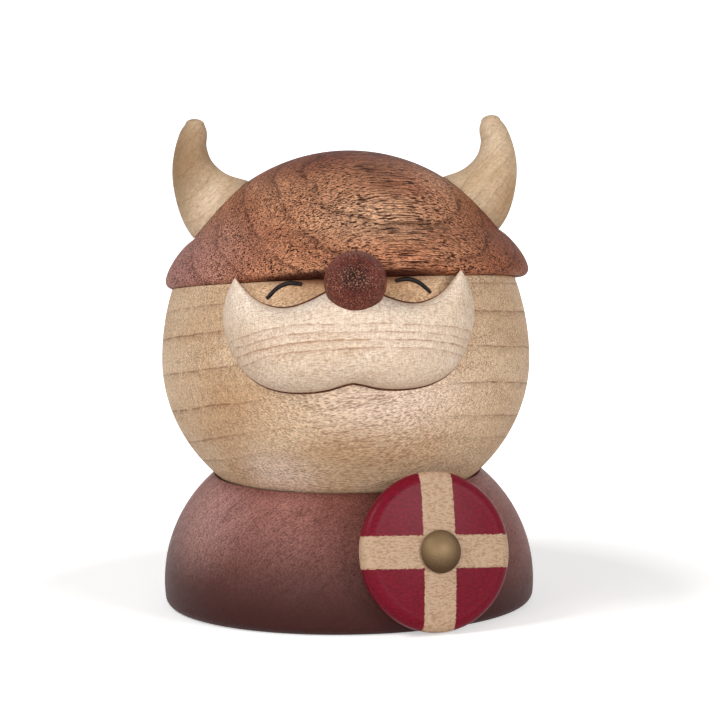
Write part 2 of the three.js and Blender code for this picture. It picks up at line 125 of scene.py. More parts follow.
@dataclass(frozen=True)
class Stroke:
    """A smooth line through a carver's marks in the (across, up) plane."""

    marks: tuple[tuple[float, float], ...]

    def at(self, share: float) -> Vector:
        """Gives a place on the line.

        Args:
            share: How far along, counted in marks, from 0 to 1.

        Returns:
            The place.
        """
        last = len(self.marks) - 1
        i = min(int(share * last), last - 1)
        t = share * last - i
        before, a, b, after = (Vector(self.marks[max(0, min(last, i + k))]) for k in (-1, 0, 1, 2))
        out_a = (b - before) / 2
        into_b = (after - a) / 2
        t2 = t * t
        t3 = t2 * t
        return (a * (2 * t3 - 3 * t2 + 1) + out_a * (t3 - 2 * t2 + t)
                + b * (3 * t2 - 2 * t3) + into_b * (t3 - t2))

    def even(self, count: int) -> list[Vector]:
        """Gives places that are evenly spaced by length.

        Args:
            count: Number of steps.

        Returns:
            count + 1 places, both ends among them.
        """
        chords = 200
        fine = [self.at(i / chords) for i in range(chords + 1)]
        run = [0.0]
        for a, b in zip(fine, fine[1:]):
            run.append(run[-1] + (b - a).length)
        places = []
        k = 0
        for i in range(count + 1):
            wanted = run[-1] * i / count
            while k < chords - 1 and run[k + 1] < wanted:
                k += 1
            places.append(fine[k].lerp(fine[k + 1], (wanted - run[k]) / (run[k + 1] - run[k])))
        return places


def turned(profile: Sequence[Vector], closed: bool = False, steps: int = PLAIN_SIDES) -> BMesh:
    """Turns a profile about Z, as on a lathe.

    Args:
        profile: Points in the (radius, height) plane.
        closed: Whether the last point joins the first, for a piece with a hole through it.
        steps: Number of sides.

    Returns:
        The turned shape.
    """
    bm = bmesh.new()
    line = [bm.verts.new((p.x, 0, p.y)) for p in profile]
    ends = line[1:] + line[:1] if closed else line[1:]
    edges = [bm.edges.new(pair) for pair in zip(line, ends)]
    bmesh.ops.spin(bm, geom=line + edges, cent=(0, 0, 0), axis=(0, 0, 1), angle=FULL_TURN, steps=steps,
                   use_merge=True)
    bmesh.ops.remove_doubles(bm, verts=bm.verts, dist=NEAR / 100)
    bmesh.ops.recalc_face_normals(bm, faces=bm.faces)
    return bm


def rod(start: Vector, end: Vector, radius: float, sides: int = ROD_SIDES) -> BMesh:
    """Makes a round rod, used to drill a socket.

    Args:
        start: Middle of one end.
        end: Middle of the other end.
        radius: Its radius.
        sides: Number of sides.

    Returns:
        The rod.
    """
    bm = bmesh.new()
    way = end - start
    turn = way.to_track_quat("Z", "Y").to_matrix().to_4x4()
    place = Matrix.Translation((start + end) / 2) @ turn
    bmesh.ops.create_cone(bm, cap_ends=True, segments=sides, radius1=radius, radius2=radius,
                          depth=way.length, matrix=place)
    return bm


def tube(middle: Sequence[Vector], radii: Sequence[float], sides: int = 20) -> BMesh:
    """Makes a closed tube along a row of places.

    Args:
        middle: The places.
        radii: The tube's radius at each of them.
        sides: Number of sides.

    Returns:
        The tube.
    """
    bm = bmesh.new()
    rings = []
    for i, (place, radius) in enumerate(zip(middle, radii)):
        way = middle[min(i + 1, len(middle) - 1)] - middle[max(i - 1, 0)]
        turn = way.to_track_quat("Z", "Y").to_matrix().to_4x4()
        made = bmesh.ops.create_circle(bm, segments=sides, radius=radius,
                                       matrix=Matrix.Translation(place) @ turn)
        rings.append(made["verts"])
    join_rings(bm, rings)
    return bm


def join_rings(bm: BMesh, rings: Sequence[Sequence[BMVert]]) -> None:
    """Bridges a row of rings to a closed skin.

    Args:
        bm: The shape that holds them.
        rings: Each ring's vertices.
    """
    for a, b in zip(rings, rings[1:]):
        edges = [e for ring in (a, b) for v in ring for e in v.link_edges if e.other_vert(v) in set(ring)]
        bmesh.ops.bridge_loops(bm, edges=list(dict.fromkeys(edges)))
    bmesh.ops.holes_fill(bm, edges=[e for e in bm.edges if e.is_boundary], sides=0)
    bmesh.ops.recalc_face_normals(bm, faces=bm.faces)


def soften(bm: BMesh, radius: float, height: float, width: float, segments: int = 3) -> None:
    """Rounds one edge of a turned shape.

    Args:
        bm: The shape.
        radius: The edge's distance from the axis.
        height: Its height.
        width: How wide the rounding is.
        segments: How finely it is rounded.
    """
    ring = {v for v in bm.verts
            if abs(v.co.z - height) < NEAR and abs(math.hypot(v.co.x, v.co.y) - radius) < NEAR}
    edges = [e for e in bm.edges if ring.issuperset(e.verts)]
    bmesh.ops.bevel(bm, geom=edges, offset=width, segments=segments, affect="EDGES", profile=0.5, material=-1)


def add_object(name: str, data: ID) -> Object:
    """Adds an object to the scene.

    Args:
        name: Its name.
        data: Its mesh, camera or lamp.

    Returns:
        The object.
    """
    thing = bpy.data.objects.new(name, data)
    bpy.context.scene.collection.objects.link(thing)
    return thing


def mesh_object(name: str, bm: BMesh, place: Matrix) -> Object:
    """Makes an object at the origin, with its place in its mesh, from a shape in millimetres.

    Args:
        name: The object's name.
        bm: The shape, which is used up.
        place: Where its own frame lies, in millimetres.

    Returns:
        The object.
    """
    bmesh.ops.transform(bm, matrix=Matrix.Scale(MM, 4) @ place, verts=bm.verts)
    mesh = bpy.data.meshes.new(name)
    bm.to_mesh(mesh)
    bm.free()
    return add_object(name, mesh)


def carve(piece: Object, place: Matrix, tools: Sequence[BMesh]) -> None:
    """Cuts tools out of a piece for good.

    Args:
        piece: The piece.
        place: Where the tools' frame lies, in millimetres.
        tools: The shapes to cut away.
    """
    cutters = [mesh_object(f"cutter_{i}", bm, place) for i, bm in enumerate(tools)]
    for cutter in cutters:
        cut = piece.modifiers.new("cut", "BOOLEAN")
        cut.operation = "DIFFERENCE"
        cut.solver = "EXACT"
        cut.object = cutter
    seen = bpy.context.evaluated_depsgraph_get()
    whole = piece.data
    piece.data = bpy.data.meshes.new_from_object(piece.evaluated_get(seen))
    piece.modifiers.clear()
    bpy.data.meshes.remove(whole)
    piece.data.name = piece.name
    for cutter in cutters:
        bpy.data.meshes.remove(cutter.data)


# Materials

# What a socket may be linked from, a size along x, y and z, and a part of a noise's run, from
# where a pattern starts to where it is full. Then the part that most of a noise falls in, and
# the setting of a map whose ends fade in and out.
Feed = Node | NodeSocket
Size = tuple[float, float, float]
Span = tuple[float, float]
NOISE_SPAN: Span = (0.35, 0.65)
SOFT = {"interpolation_type": "SMOOTHSTEP"}


def colour(code: str) -> tuple[float, float, float, float]:
    """Turns an sRGB hex colour to linear light.

    Args:
        code: Six hex digits.

    Returns:
        Red, green, blue and alpha.
    """
    parts = [int(code[i:i + 2], 16) / 255 for i in (0, 2, 4)]
    red, green, blue = (p / 12.92 if p <= 0.04045 else ((p + 0.055) / 1.055) ** 2.4 for p in parts)
    return red, green, blue, 1.0


def span(low: float, high: float, first: float = 0.0, last: float = 1.0) -> dict[str, float]:
    """The sockets that map low to first and high to last."""
    return {"From Min": low, "From Max": high, "To Min": first, "To Max": last}


def seat(place: Feed, base: Matrix, size: Sequence[float] = (1, 1, 1)) -> dict[str, object]:
    """The sockets that turn coordinates into those of a frame, counted in a size in millimetres."""
    return {"Vector": place, "Location": base.to_translation() * MM, "Rotation": base.to_euler("XYZ"),
            "Scale": Vector(size) * MM}


def plug(node: Node, inputs: dict[str | int, object]) -> None:
    """Sets a node's sockets.

    Args:
        node: The node.
        inputs: Socket name or number, with its value, or the node or output that it is linked from.
    """
    for key, value in inputs.items():
        source = value.outputs[0] if isinstance(value, Node) else value
        if isinstance(source, NodeSocket):
            node.id_data.links.new(source, node.inputs[key])
        else:
            node.inputs[key].default_value = source


def add_node(tree: NodeTree, kind: str, inputs: dict[str | int, object] | None = None,
             stops: Sequence[tuple[float, object]] = (), **settings: object) -> Node:
    """Adds a node with its settings and links.

    Args:
        tree: The node tree.
        kind: The node's type, without the word that all of them start with.
        inputs: Its sockets, as plug takes them.
        stops: Places and colours of a colour ramp, or places and greys.
        settings: The node's own properties.

    Returns:
        The node.
    """
    node = tree.nodes.new("ShaderNode" + kind)
    for name, value in settings.items():
        setattr(node, name, value)
    plug(node, inputs or {})
    if stops:
        ramp = node.color_ramp.elements
        for _ in range(len(stops) - 2):
            ramp.new(0.5)
        for element, (place, shade) in zip(ramp, sorted(stops, key=lambda stop: stop[0])):
            element.position = place
            element.color = shade if isinstance(shade, tuple) else (shade, shade, shade, 1.0)
    return node


def blend(tree: NodeTree, share: Feed, most: float, under: object, over: object) -> NodeSocket:
    """Lays one colour over another.

    Args:
        tree: The node tree.
        share: Where the upper colour shows.
        most: How much of it shows at most.
        under: The lower colour.
        over: The upper colour.

    Returns:
        The mixed colour.
    """
    limited = add_node(tree, "Math", {0: share, 1: most}, operation="MULTIPLY", use_clamp=True)
    mixed = add_node(tree, "Mix", {"Factor": limited, 6: under, 7: over}, data_type="RGBA")
    return mixed.outputs[2]


@dataclass(frozen=True)
class Finish:
    """A finish: a real material, worked in a real way."""

    name: str
    note: str

    def look(self, tree: NodeTree, place: Feed) -> dict[str, object]:
        """Draws the finish over the object's coordinates and gives the surface shader's sockets."""
        raise NotImplementedError

    def make(self) -> Material:
        """Builds the material, with the note on what it is kept with it.

        Returns:
            The material.
        """
        material = bpy.data.materials.new(self.name)
        material["surface"] = self.note
        material.use_nodes = True
        tree = material.node_tree
        tree.nodes.clear()
        shader = add_node(tree, "BsdfPrincipled")
        add_node(tree, "OutputMaterial", {"Surface": shader})
        plug(shader, self.look(tree, add_node(tree, "TexCoord").outputs["Object"]))
        return material


@dataclass(frozen=True)
class Ring:
    """One growth ring's dark line: its height in the board, and how strong and how wide it is."""

    height: float
    strength: float = 1.0
    width: float = 0.35
    fade: float = 1.8


@dataclass(frozen=True)
class Patch:
    """A soft oval patch of another tone, used here mostly to paint light and shade onto a surface."""

    frame: Matrix
    centre: tuple[float, float, float]
    reach: tuple[float, float, float]
    tone: str
    share: float = 0.6
    core: float = 0.2

    def nearness(self, tree: NodeTree, place: Feed) -> Node:
        """Says how far inside the patch a place is.

        Args:
            tree: The node tree.
            place: The object's coordinates.

        Returns:
            A value that is 1 in its core and 0 outside it.
        """
        middle = self.frame @ Matrix.Translation(self.centre)
        inside = add_node(tree, "Mapping", seat(place, middle, self.reach), vector_type="TEXTURE")
        out = add_node(tree, "VectorMath", {0: inside}, operation="LENGTH")
        return add_node(tree, "MapRange", {"Value": out.outputs["Value"], **span(1.0, self.core)}, **SOFT)


@dataclass(frozen=True)
class Wood(Finish):
    """Solid wood, cut from one board, so that its grain runs through the whole piece.

    In the board's own frame the fibres run along x and the growth rings are stacked along
    z. Vessels and fibres are long along x, seen as dashes along the grain and as dots
    where it is cut across, and rays are thin sheets that stand across the rings. Sizes
    are those of one grain of the pattern in millimetres, along x, y and z.
    """

    board: Matrix
    pale: str
    deep: str
    ring_colour: str
    rings: tuple[Ring, ...] = ()
    patches: tuple[Patch, ...] = ()
    ring_share: float = 0.5
    ring_clear: float = 0.0
    arch: float = 0.0
    wander: float = 0.6
    streak_size: Size = (14.0, 0.7, 0.7)
    streak_share: float = 0.35
    vessel_colour: str = "3a1a12"
    vessel_size: Size = (2.6, 0.42, 0.42)
    vessel_level: float = 0.62
    vessel_band: float = 0.06
    vessel_share: float = 0.6
    speck_size: Size = (1.3, 0.45, 0.45)
    speck: float = 0.3
    ray_size: Size = (1.0, 0.4, 3.0)
    ray: float = 0.12
    blotch_size: float = 16.0
    blotch_shape: Size = (1.6, 1.0, 0.6)
    ring_room: float = 4.0
    sway_size: Size = (26.0, 18.0, 14.0)
    break_size: Size = (3.0, 1.6, 1.2)
    break_span: Span = (0.36, 0.58)
    band_size: Size = (30.0, 14.0, 2.6)
    vessel_wall: float = 0.035
    vessel_pit: float = -0.8
    fibre_span: Span = (0.42, 0.66)
    glow_span: Span = (0.45, 0.7)
    dark_span: Span = (0.52, 0.34)
    sheen_span: Span = (0.3, 0.7)
    blotch_share: float = 0.5
    roughness: float = 0.55
    gloss: float = 0.4
    relief: float = 0.06

    def noise(self, tree: NodeTree, board: Feed, size: Size, detail: float = 2.0) -> Node:
        """Adds noise whose grains have a real length, width and height.

        Args:
            tree: The node tree.
            board: The board's coordinates.
            size: A grain's size along x, y and z.
            detail: How much finer noise is added.

        Returns:
            The noise.
        """
        scaled = add_node(tree, "VectorMath", {0: board, 1: tuple(1 / s for s in size)}, operation="MULTIPLY")
        return add_node(tree, "TexNoise", {
            "Vector": scaled, "Scale": 1.0, "Detail": detail, "Roughness": 0.55,
        })

    def ring_lines(self, tree: NodeTree, board: Feed) -> Node:
        """Draws the rings' dark lines, each crisp on one side and fading on the other.

        The rings are arched, wander a little and break up where the sanding has cut
        across them, and near the middle of the board they may fade away.

        Args:
            tree: The node tree.
            board: The board's coordinates.

        Returns:
            A value that is 1 on a line.
        """
        parts = add_node(tree, "SeparateXYZ", {0: board})
        sway = self.noise(tree, board, self.sway_size, 3.0)
        swayed = add_node(tree, "Math", {0: sway, 1: 2 * self.wander, 2: -self.wander},
                          operation="MULTIPLY_ADD")
        raised = add_node(tree, "Math", {0: parts.outputs["Z"], 1: swayed}, operation="ADD")
        square = add_node(tree, "Math", {0: parts.outputs["X"], 1: 2.0}, operation="POWER")
        height = add_node(tree, "Math", {0: square, 1: self.arch, 2: raised}, operation="MULTIPLY_ADD")
        low = min(ring.height for ring in self.rings) - self.ring_room
        high = max(ring.height for ring in self.rings) + self.ring_room
        stops: list[tuple[float, object]] = [(0.0, 0.0), (1.0, 0.0)]
        for ring in self.rings:
            for offset, shade in ((-ring.fade, 0.0), (-ring.width, 0.3), (0.0, 1.0), (ring.width * 0.5, 0.0)):
                stops.append(((ring.height + offset - low) / (high - low), shade * ring.strength))
        share = add_node(tree, "MapRange", {"Value": height, **span(low, high)})
        lines = add_node(tree, "ValToRGB", {0: share}, stops)
        breaks = self.noise(tree, board, self.break_size, 3.0)
        worn = add_node(tree, "MapRange", {"Value": breaks, **span(*self.break_span, 0.2)})
        drawn = add_node(tree, "Math", {0: lines, 1: worn}, operation="MULTIPLY")
        if not self.ring_clear:
            return drawn
        aside = add_node(tree, "Math", {0: parts.outputs["X"]}, operation="ABSOLUTE")
        clear = span(self.ring_clear * 0.5, self.ring_clear * 1.3, 0.15)
        shown = add_node(tree, "MapRange", {"Value": aside, **clear}, **SOFT)
        return add_node(tree, "Math", {0: drawn, 1: shown}, operation="MULTIPLY")

    def vessels(self, tree: NodeTree, board: Feed) -> Node:
        """Draws the open vessels, which crowd together in bands along the rings.

        Args:
            tree: The node tree.
            board: The board's coordinates.

        Returns:
            A value that is 1 inside a vessel.
        """
        tubes = self.noise(tree, board, self.vessel_size, 1.0)
        bands = self.noise(tree, board, self.band_size, 1.0)
        crowded = add_node(tree, "MapRange", {
            "Value": bands, **span(*NOISE_SPAN, -self.vessel_band, self.vessel_band),
        })
        dense = add_node(tree, "Math", {0: tubes, 1: crowded}, operation="ADD")
        wall = span(self.vessel_level - self.vessel_wall, self.vessel_level + self.vessel_wall)
        return add_node(tree, "MapRange", {"Value": dense, **wall}, **SOFT)

    def grain(self, tree: NodeTree, noise: Feed, most: float, base: Feed) -> NodeSocket:
        """Lightens a colour where a noise is high and browns it where the noise is low.

        Args:
            tree: The node tree.
            noise: The noise.
            most: How strong the change is.
            base: The colour.

        Returns:
            The changed colour.
        """
        gain = span(*self.glow_span, 1 + most * 0.15, 1 + most * 0.9)
        glow = add_node(tree, "MapRange", {"Value": noise, **gain})
        lighter = add_node(tree, "VectorMath", {0: base, "Scale": glow}, operation="SCALE")
        dark = add_node(tree, "MapRange", {"Value": noise, **span(*self.dark_span)}, **SOFT)
        return blend(tree, dark, most, lighter, colour(self.ring_colour))

    def look(self, tree: NodeTree, place: Feed) -> dict[str, object]:
        """Draws the wood: its tone, then fibres, specks, rays, rings and vessels over it.

        Args:
            tree: The node tree.
            place: The object's coordinates.

        Returns:
            The surface shader's sockets.
        """
        board = add_node(tree, "Mapping", seat(place, self.board), vector_type="TEXTURE")
        brown = colour(self.ring_colour)
        blotch = self.noise(tree, board, tuple(self.blotch_size * part for part in self.blotch_shape))
        cloud = add_node(tree, "MapRange", {"Value": blotch, **span(*NOISE_SPAN)}, **SOFT)
        base = blend(tree, cloud, self.blotch_share, colour(self.pale), colour(self.deep))
        # The patches paint light and shade into the tone: lit and shaded sides, highlights and shadows.
        for patch in self.patches:
            base = blend(tree, patch.nearness(tree, place), patch.share, base, colour(patch.tone))
        streak = self.noise(tree, board, self.streak_size, 3.0)
        fibre = add_node(tree, "MapRange", {"Value": streak, **span(*self.fibre_span)}, **SOFT)
        base = blend(tree, fibre, self.streak_share, base, brown)
        specks = self.noise(tree, board, self.speck_size)
        base = self.grain(tree, specks, self.speck, base)
        base = self.grain(tree, self.noise(tree, board, self.ray_size, 1.0), self.ray, base)
        if self.rings:
            base = blend(tree, self.ring_lines(tree, board), self.ring_share, base, brown)
        vessel = self.vessels(tree, board)
        base = blend(tree, vessel, self.vessel_share, base, colour(self.vessel_colour))
        hollow = add_node(tree, "Math", {0: vessel, 1: self.vessel_pit, 2: specks}, operation="MULTIPLY_ADD")
        bump = add_node(tree, "Bump", {"Strength": 0.7, "Distance": self.relief * MM, "Height": hollow})
        sheen = span(*self.sheen_span, self.roughness - 0.06, self.roughness + 0.08)
        rough = add_node(tree, "MapRange", {"Value": streak, **sheen})
        return {"Base Color": base, "Normal": bump, "Roughness": rough, "Specular IOR Level": self.gloss}


@dataclass(frozen=True)
class CrossPaint(Finish):
    """Satin crimson paint, brushed on a wooden disc around a bare cross.

    The paint is laid by hand, so that its edges along the cross are a little ragged, thin
    streaks of it follow the brush, and it stops short of the back in a thin bare line.
    """

    disc: Matrix
    paint: str = "7c0f26"
    paint_deep: str = "5e0a19"
    wood: str = "cfb196"
    wood_deep: str = "b08e70"
    wood_line: str = "a87e5c"
    upright_half: float = 3.55
    bar_half: float = 3.4
    turned_by: float = -4.0
    paint_from: float = 0.75
    grain_turn: float = -48.0
    edge_blur: float = 0.08
    back_blur: float = 0.1
    gloss: float = 0.12

    def look(self, tree: NodeTree, place: Feed) -> dict[str, object]:
        """Draws the bare cross and lays the paint round it.

        Args:
            tree: The node tree.
            place: The object's coordinates.

        Returns:
            The surface shader's sockets.
        """
        face = self.disc @ Matrix.Rotation(math.radians(self.turned_by), 4, "Z")
        flat = add_node(tree, "Mapping", seat(place, face), vector_type="TEXTURE")
        parts = add_node(tree, "SeparateXYZ", {0: flat})
        # A brush hair leaves marks about 0.3 mm wide, and the edge strays by about as much.
        rag = add_node(tree, "TexNoise", {"Vector": flat, "Scale": 1.6, "Detail": 4.0, "Roughness": 0.62})
        stray = add_node(tree, "Math", {0: rag, 1: 0.9, 2: -0.45}, operation="MULTIPLY_ADD")
        back = add_node(tree, "Math", {0: parts.outputs["Z"], 1: stray}, operation="ADD")
        behind = span(self.paint_from + self.back_blur, self.paint_from - self.back_blur)
        bare = add_node(tree, "MapRange", {"Value": back, **behind})
        for axis, half in (("X", self.upright_half), ("Y", self.bar_half)):
            out = add_node(tree, "Math", {0: parts.outputs[axis]}, operation="ABSOLUTE")
            edge = add_node(tree, "Math", {0: out, 1: stray}, operation="ADD")
            inside = span(half + self.edge_blur, half - self.edge_blur)
            arm = add_node(tree, "MapRange", {"Value": edge, **inside})
            bare = add_node(tree, "Math", {0: bare, 1: arm}, operation="MAXIMUM")
        # Maple fibres run up and to the right across the disc, with vessels about 0.2 mm wide.
        slant = add_node(tree, "Mapping", {"Vector": flat, "Rotation": (0, 0, math.radians(self.grain_turn)),
                                           "Scale": (0.9, 2.6, 2.6)})
        grain = add_node(tree, "TexNoise", {"Vector": slant, "Scale": 1.0, "Detail": 3.0})
        tone = add_node(tree, "ValToRGB", {0: grain}, (
            (0.38, colour(self.wood_deep)), (0.56, colour(self.wood)), (0.68, colour(self.wood_deep)),
            (0.76, colour(self.wood_line)),
        ))
        streak = add_node(tree, "Mapping", {"Vector": flat, "Scale": (1.3, 2.2, 2.2)})
        brush = add_node(tree, "TexNoise", {"Vector": streak, "Scale": 1.0, "Detail": 3.0})
        coat = add_node(tree, "ValToRGB", {0: brush}, (
            (0.4, colour(self.paint)), (0.75, colour(self.paint_deep)),
        ))
        mixed = add_node(tree, "Mix", {"Factor": bare, 6: coat, 7: tone}, data_type="RGBA")
        rough = add_node(tree, "MapRange", {"Value": bare, "To Min": 0.36, "To Max": 0.58})
        thick = add_node(tree, "Math", {0: bare, 1: -1.0, 2: brush}, operation="MULTIPLY_ADD")
        bump = add_node(tree, "Bump", {"Strength": 0.5, "Distance": 0.08 * MM, "Height": thick})
        return {"Base Color": mixed.outputs[2], "Roughness": rough, "Normal": bump,
                "Specular IOR Level": self.gloss}


@dataclass(frozen=True)
class AgedBrass(Finish):
    """Brass that was stamped, then left to darken: olive brown, with a painted highlight near its top."""

    disc: Matrix
    worn_at: tuple[float, float, float] = (-0.6, 1.6, 7.2)
    reach: float = 6.4
    bright: str = "7e674a"
    dull: str = "564029"

    def look(self, tree: NodeTree, place: Feed) -> dict[str, object]:
        """Draws the brass, with its worn top.

        Args:
            tree: The node tree.
            place: The object's coordinates.

        Returns:
            The surface shader's sockets.
        """
        # Fine rubbing shows at about 0.4 mm. A painted highlight lightens the head near its top, and the head
        # stays darker towards its rim as painted shade.
        rub = add_node(tree, "TexNoise", {"Vector": place, "Scale": 2400.0, "Detail": 3.0, "Roughness": 0.6})
        # The patch paints a highlight on the head near its top.
        worn = Patch(self.disc, self.worn_at, (self.reach,) * 3, self.bright, core=0.1).nearness(tree, place)
        uneven = add_node(tree, "Math", {0: rub, 1: 0.5, 2: -0.25}, operation="MULTIPLY_ADD")
        shown = add_node(tree, "Math", {0: worn, 1: uneven}, operation="ADD")
        tone = add_node(tree, "ValToRGB", {0: shown}, (
            (0.05, colour(self.dull)), (0.85, colour(self.bright)),
        ))
        rough = add_node(tree, "MapRange", {"Value": shown, "To Min": 0.68, "To Max": 0.55})
        bump = add_node(tree, "Bump", {"Strength": 0.3, "Distance": 0.02 * MM, "Height": rub})
        return {"Base Color": tone, "Metallic": 0.75, "Roughness": rough, "Normal": bump}


@dataclass(frozen=True)
class LineColour(Finish):
    """A thin dark line: lacquer in a cut, or painted shade along a joint; dull, and paler in thin spots."""

    dark: str = "17110f"
    worn: str = "35261f"

    def look(self, tree: NodeTree, place: Feed) -> dict[str, object]:
        """Draws the line's colour.

        Args:
            tree: The node tree.
            place: The object's coordinates.

        Returns:
            The surface shader's sockets.
        """
        # The thin spots are about half a millimetre long.
        spots = add_node(tree, "TexNoise", {"Vector": place, "Scale": 1500.0, "Detail": 2.0})
        tone = add_node(tree, "ValToRGB", {0: spots}, (
            (0.48, colour(self.dark)), (0.75, colour(self.worn)),
        ))
        rough = add_node(tree, "MapRange", {"Value": spots, "To Min": 0.5, "To Max": 0.65})
        return {"Base Color": tone, "Roughness": rough, "Specular IOR Level": 0.2}


# The pieces


@dataclass(frozen=True)
class Ball:
    """The turned ball's shape, a little flatter below its middle than above it."""

    radius: float = 38.75
    chin_drop: float = 34.1
    crown_rise: float = 43.9
    height: float = 52.1
    tilt_back: float = 9.5
    lean_left: float = 1.0
    turn_right: float = 2.0

    def turn(self) -> Matrix:
        """Works out how the face and the cap are turned on the ball.

        Returns:
            The turn.
        """
        turn = Matrix.Rotation(math.radians(self.turn_right), 4, "Z")
        tilt = Matrix.Rotation(math.radians(-self.tilt_back), 4, "X")
        return turn @ tilt @ Matrix.Rotation(math.radians(-self.lean_left), 4, "Y")

    def face(self) -> Matrix:
        """The face's own frame, about the ball's middle."""
        return Matrix.Translation((0, 0, self.height)) @ self.turn()

    def front(self, x: float, z: float, gap: float = 0.0) -> float:
        """Finds the ball's surface in front of a place on the face.

        Args:
            x: Across the face.
            z: Up the face.
            gap: How much the ball is grown.

        Returns:
            The surface's y in the face's frame.
        """
        turn = self.turn().to_3x3()
        start = turn @ Vector((x, 0, z))
        way = turn @ Vector((0, -1, 0))
        reach = 0.0
        for rise, below in ((self.chin_drop, True), (self.crown_rise, False)):
            scale = Vector((1 / (self.radius + gap), 1 / (self.radius + gap), 1 / (rise + gap)))
            s = start * scale
            w = way * scale
            a, b, c = w.dot(w), s.dot(w), s.dot(s) - 1
            found = (-b + math.sqrt(max(b * b - a * c, 0.0))) / a
            if (start.z + found * way.z < 0) == below:
                reach = found
        return -reach


@dataclass(frozen=True)
class Nose:
    """Where the nose is let into the brim and the moustache, and how big it is."""

    radius: float = 6.45
    centre: Vector = Vector((1.2, -41.0, 14.9))
    peg_radius: float = 1.2
    peg_drop: float = 3.4
    peg_past: float = 1.6
    peg_in_head: float = 9.0

    def hollow(self, room: Vector = Vector()) -> BMesh:
        """The seat that it leaves in a neighbour.

        Args:
            room: How far the seat is cut past the nose.

        Returns:
            The seat.
        """
        bm = bmesh.new()
        bmesh.ops.create_uvsphere(bm, u_segments=64, v_segments=40, radius=self.radius + SEAM,
                                  matrix=Matrix.Translation(self.centre + room))
        return bm

    def peg_hole(self, shape: Ball) -> BMesh:
        """The hole for its peg.

        Args:
            shape: The ball that it is pegged to.

        Returns:
            The hole.
        """
        height = self.centre.z - self.peg_drop
        back = shape.front(self.centre.x, height) + self.peg_in_head + SOCKET_SLACK
        front = self.centre.y - self.peg_past - SOCKET_SLACK
        return rod(Vector((self.centre.x, front, height)), Vector((self.centre.x, back, height)),
                   self.peg_radius + GLUE_GAP, PEG_SIDES)


@dataclass(frozen=True)
class CapShape:
    """The turned cap, a dome on a flared brim."""

    shift: float = 0.9
    underside: float = 15.9
    dome_radius: float = 32.0
    dome_rise: float = 17.65
    brim_radius: float = 38.3
    brim_height: float = 10.3
    lip_round: float = 1.6
    brim_bulge: tuple[float, float, float, float] = (-0.05, 4.0, -3.6, 8.9)
    dowel_radius: float = 4.0
    dowel_in_cap: float = 12.0
    dowel_in_head: float = 13.0

    @property
    def dome_foot(self) -> float:
        """Height of the dome's foot."""
        return self.underside + self.brim_height

    @property
    def dome_sphere(self) -> float:
        """Radius of the dome's curve."""
        return (self.dome_radius ** 2 + self.dome_rise ** 2) / (2 * self.dome_rise)

    def profile(self, gap: float, socket: bool) -> list[Vector]:
        """Gives the turned outline.

        Args:
            gap: How much the outline is grown.
            socket: Whether it has the dowel's hole.

        Returns:
            Points from the underside to the top.
        """
        low = self.underside - gap
        points = [Vector((0, low))]
        if socket:
            hole = self.dowel_radius + GLUE_GAP
            top = self.underside + self.dowel_in_cap + SOCKET_SLACK
            points = [Vector((0, top)), Vector((hole, top)), Vector((hole, low))]
        centre = (self.brim_radius - self.lip_round, self.underside + self.lip_round)
        lip = self.lip_round + gap
        points += arc(centre, (lip, lip), -90, 0, steps=8)
        out_a, up_a, out_b, up_b = self.brim_bulge
        curve = bezier((
            (self.brim_radius, centre[1]), (self.brim_radius + out_a, self.underside + up_a),
            (self.brim_radius + out_b, self.underside + up_b), (self.dome_radius, self.dome_foot),
        ), steps=32)
        for i in range(1, len(curve) - 1):
            way = (curve[i + 1] - curve[i - 1]).normalized()
            points.append(curve[i] + Vector((way.y, -way.x)) * gap)
        if gap == 0:
            points.append(curve[-1])
        sphere = self.dome_sphere
        edge = math.degrees(math.asin(self.dome_radius / sphere))
        middle = self.dome_foot + self.dome_rise - sphere
        dome = arc((0, middle), (sphere + gap, sphere + gap), 90 - edge, 90, steps=48)
        return points + dome[1:]

    def grown(self) -> BMesh:
        """Makes the cap with a thin seam round it, to cut its neighbours.

        Returns:
            The grown cap.
        """
        bm = turned(self.profile(SEAM, False), steps=CUTTER_SIDES)
        bmesh.ops.translate(bm, vec=(self.shift, 0, 0), verts=bm.verts)
        return bm

    def dowel_hole(self) -> BMesh:
        """The hole for its dowel."""
        return rod(Vector((self.shift, 0, self.underside - self.dowel_in_head - SOCKET_SLACK)),
                   Vector((self.shift, 0, self.underside + DRILL_PAST)), self.dowel_radius + GLUE_GAP,
                   sides=48)


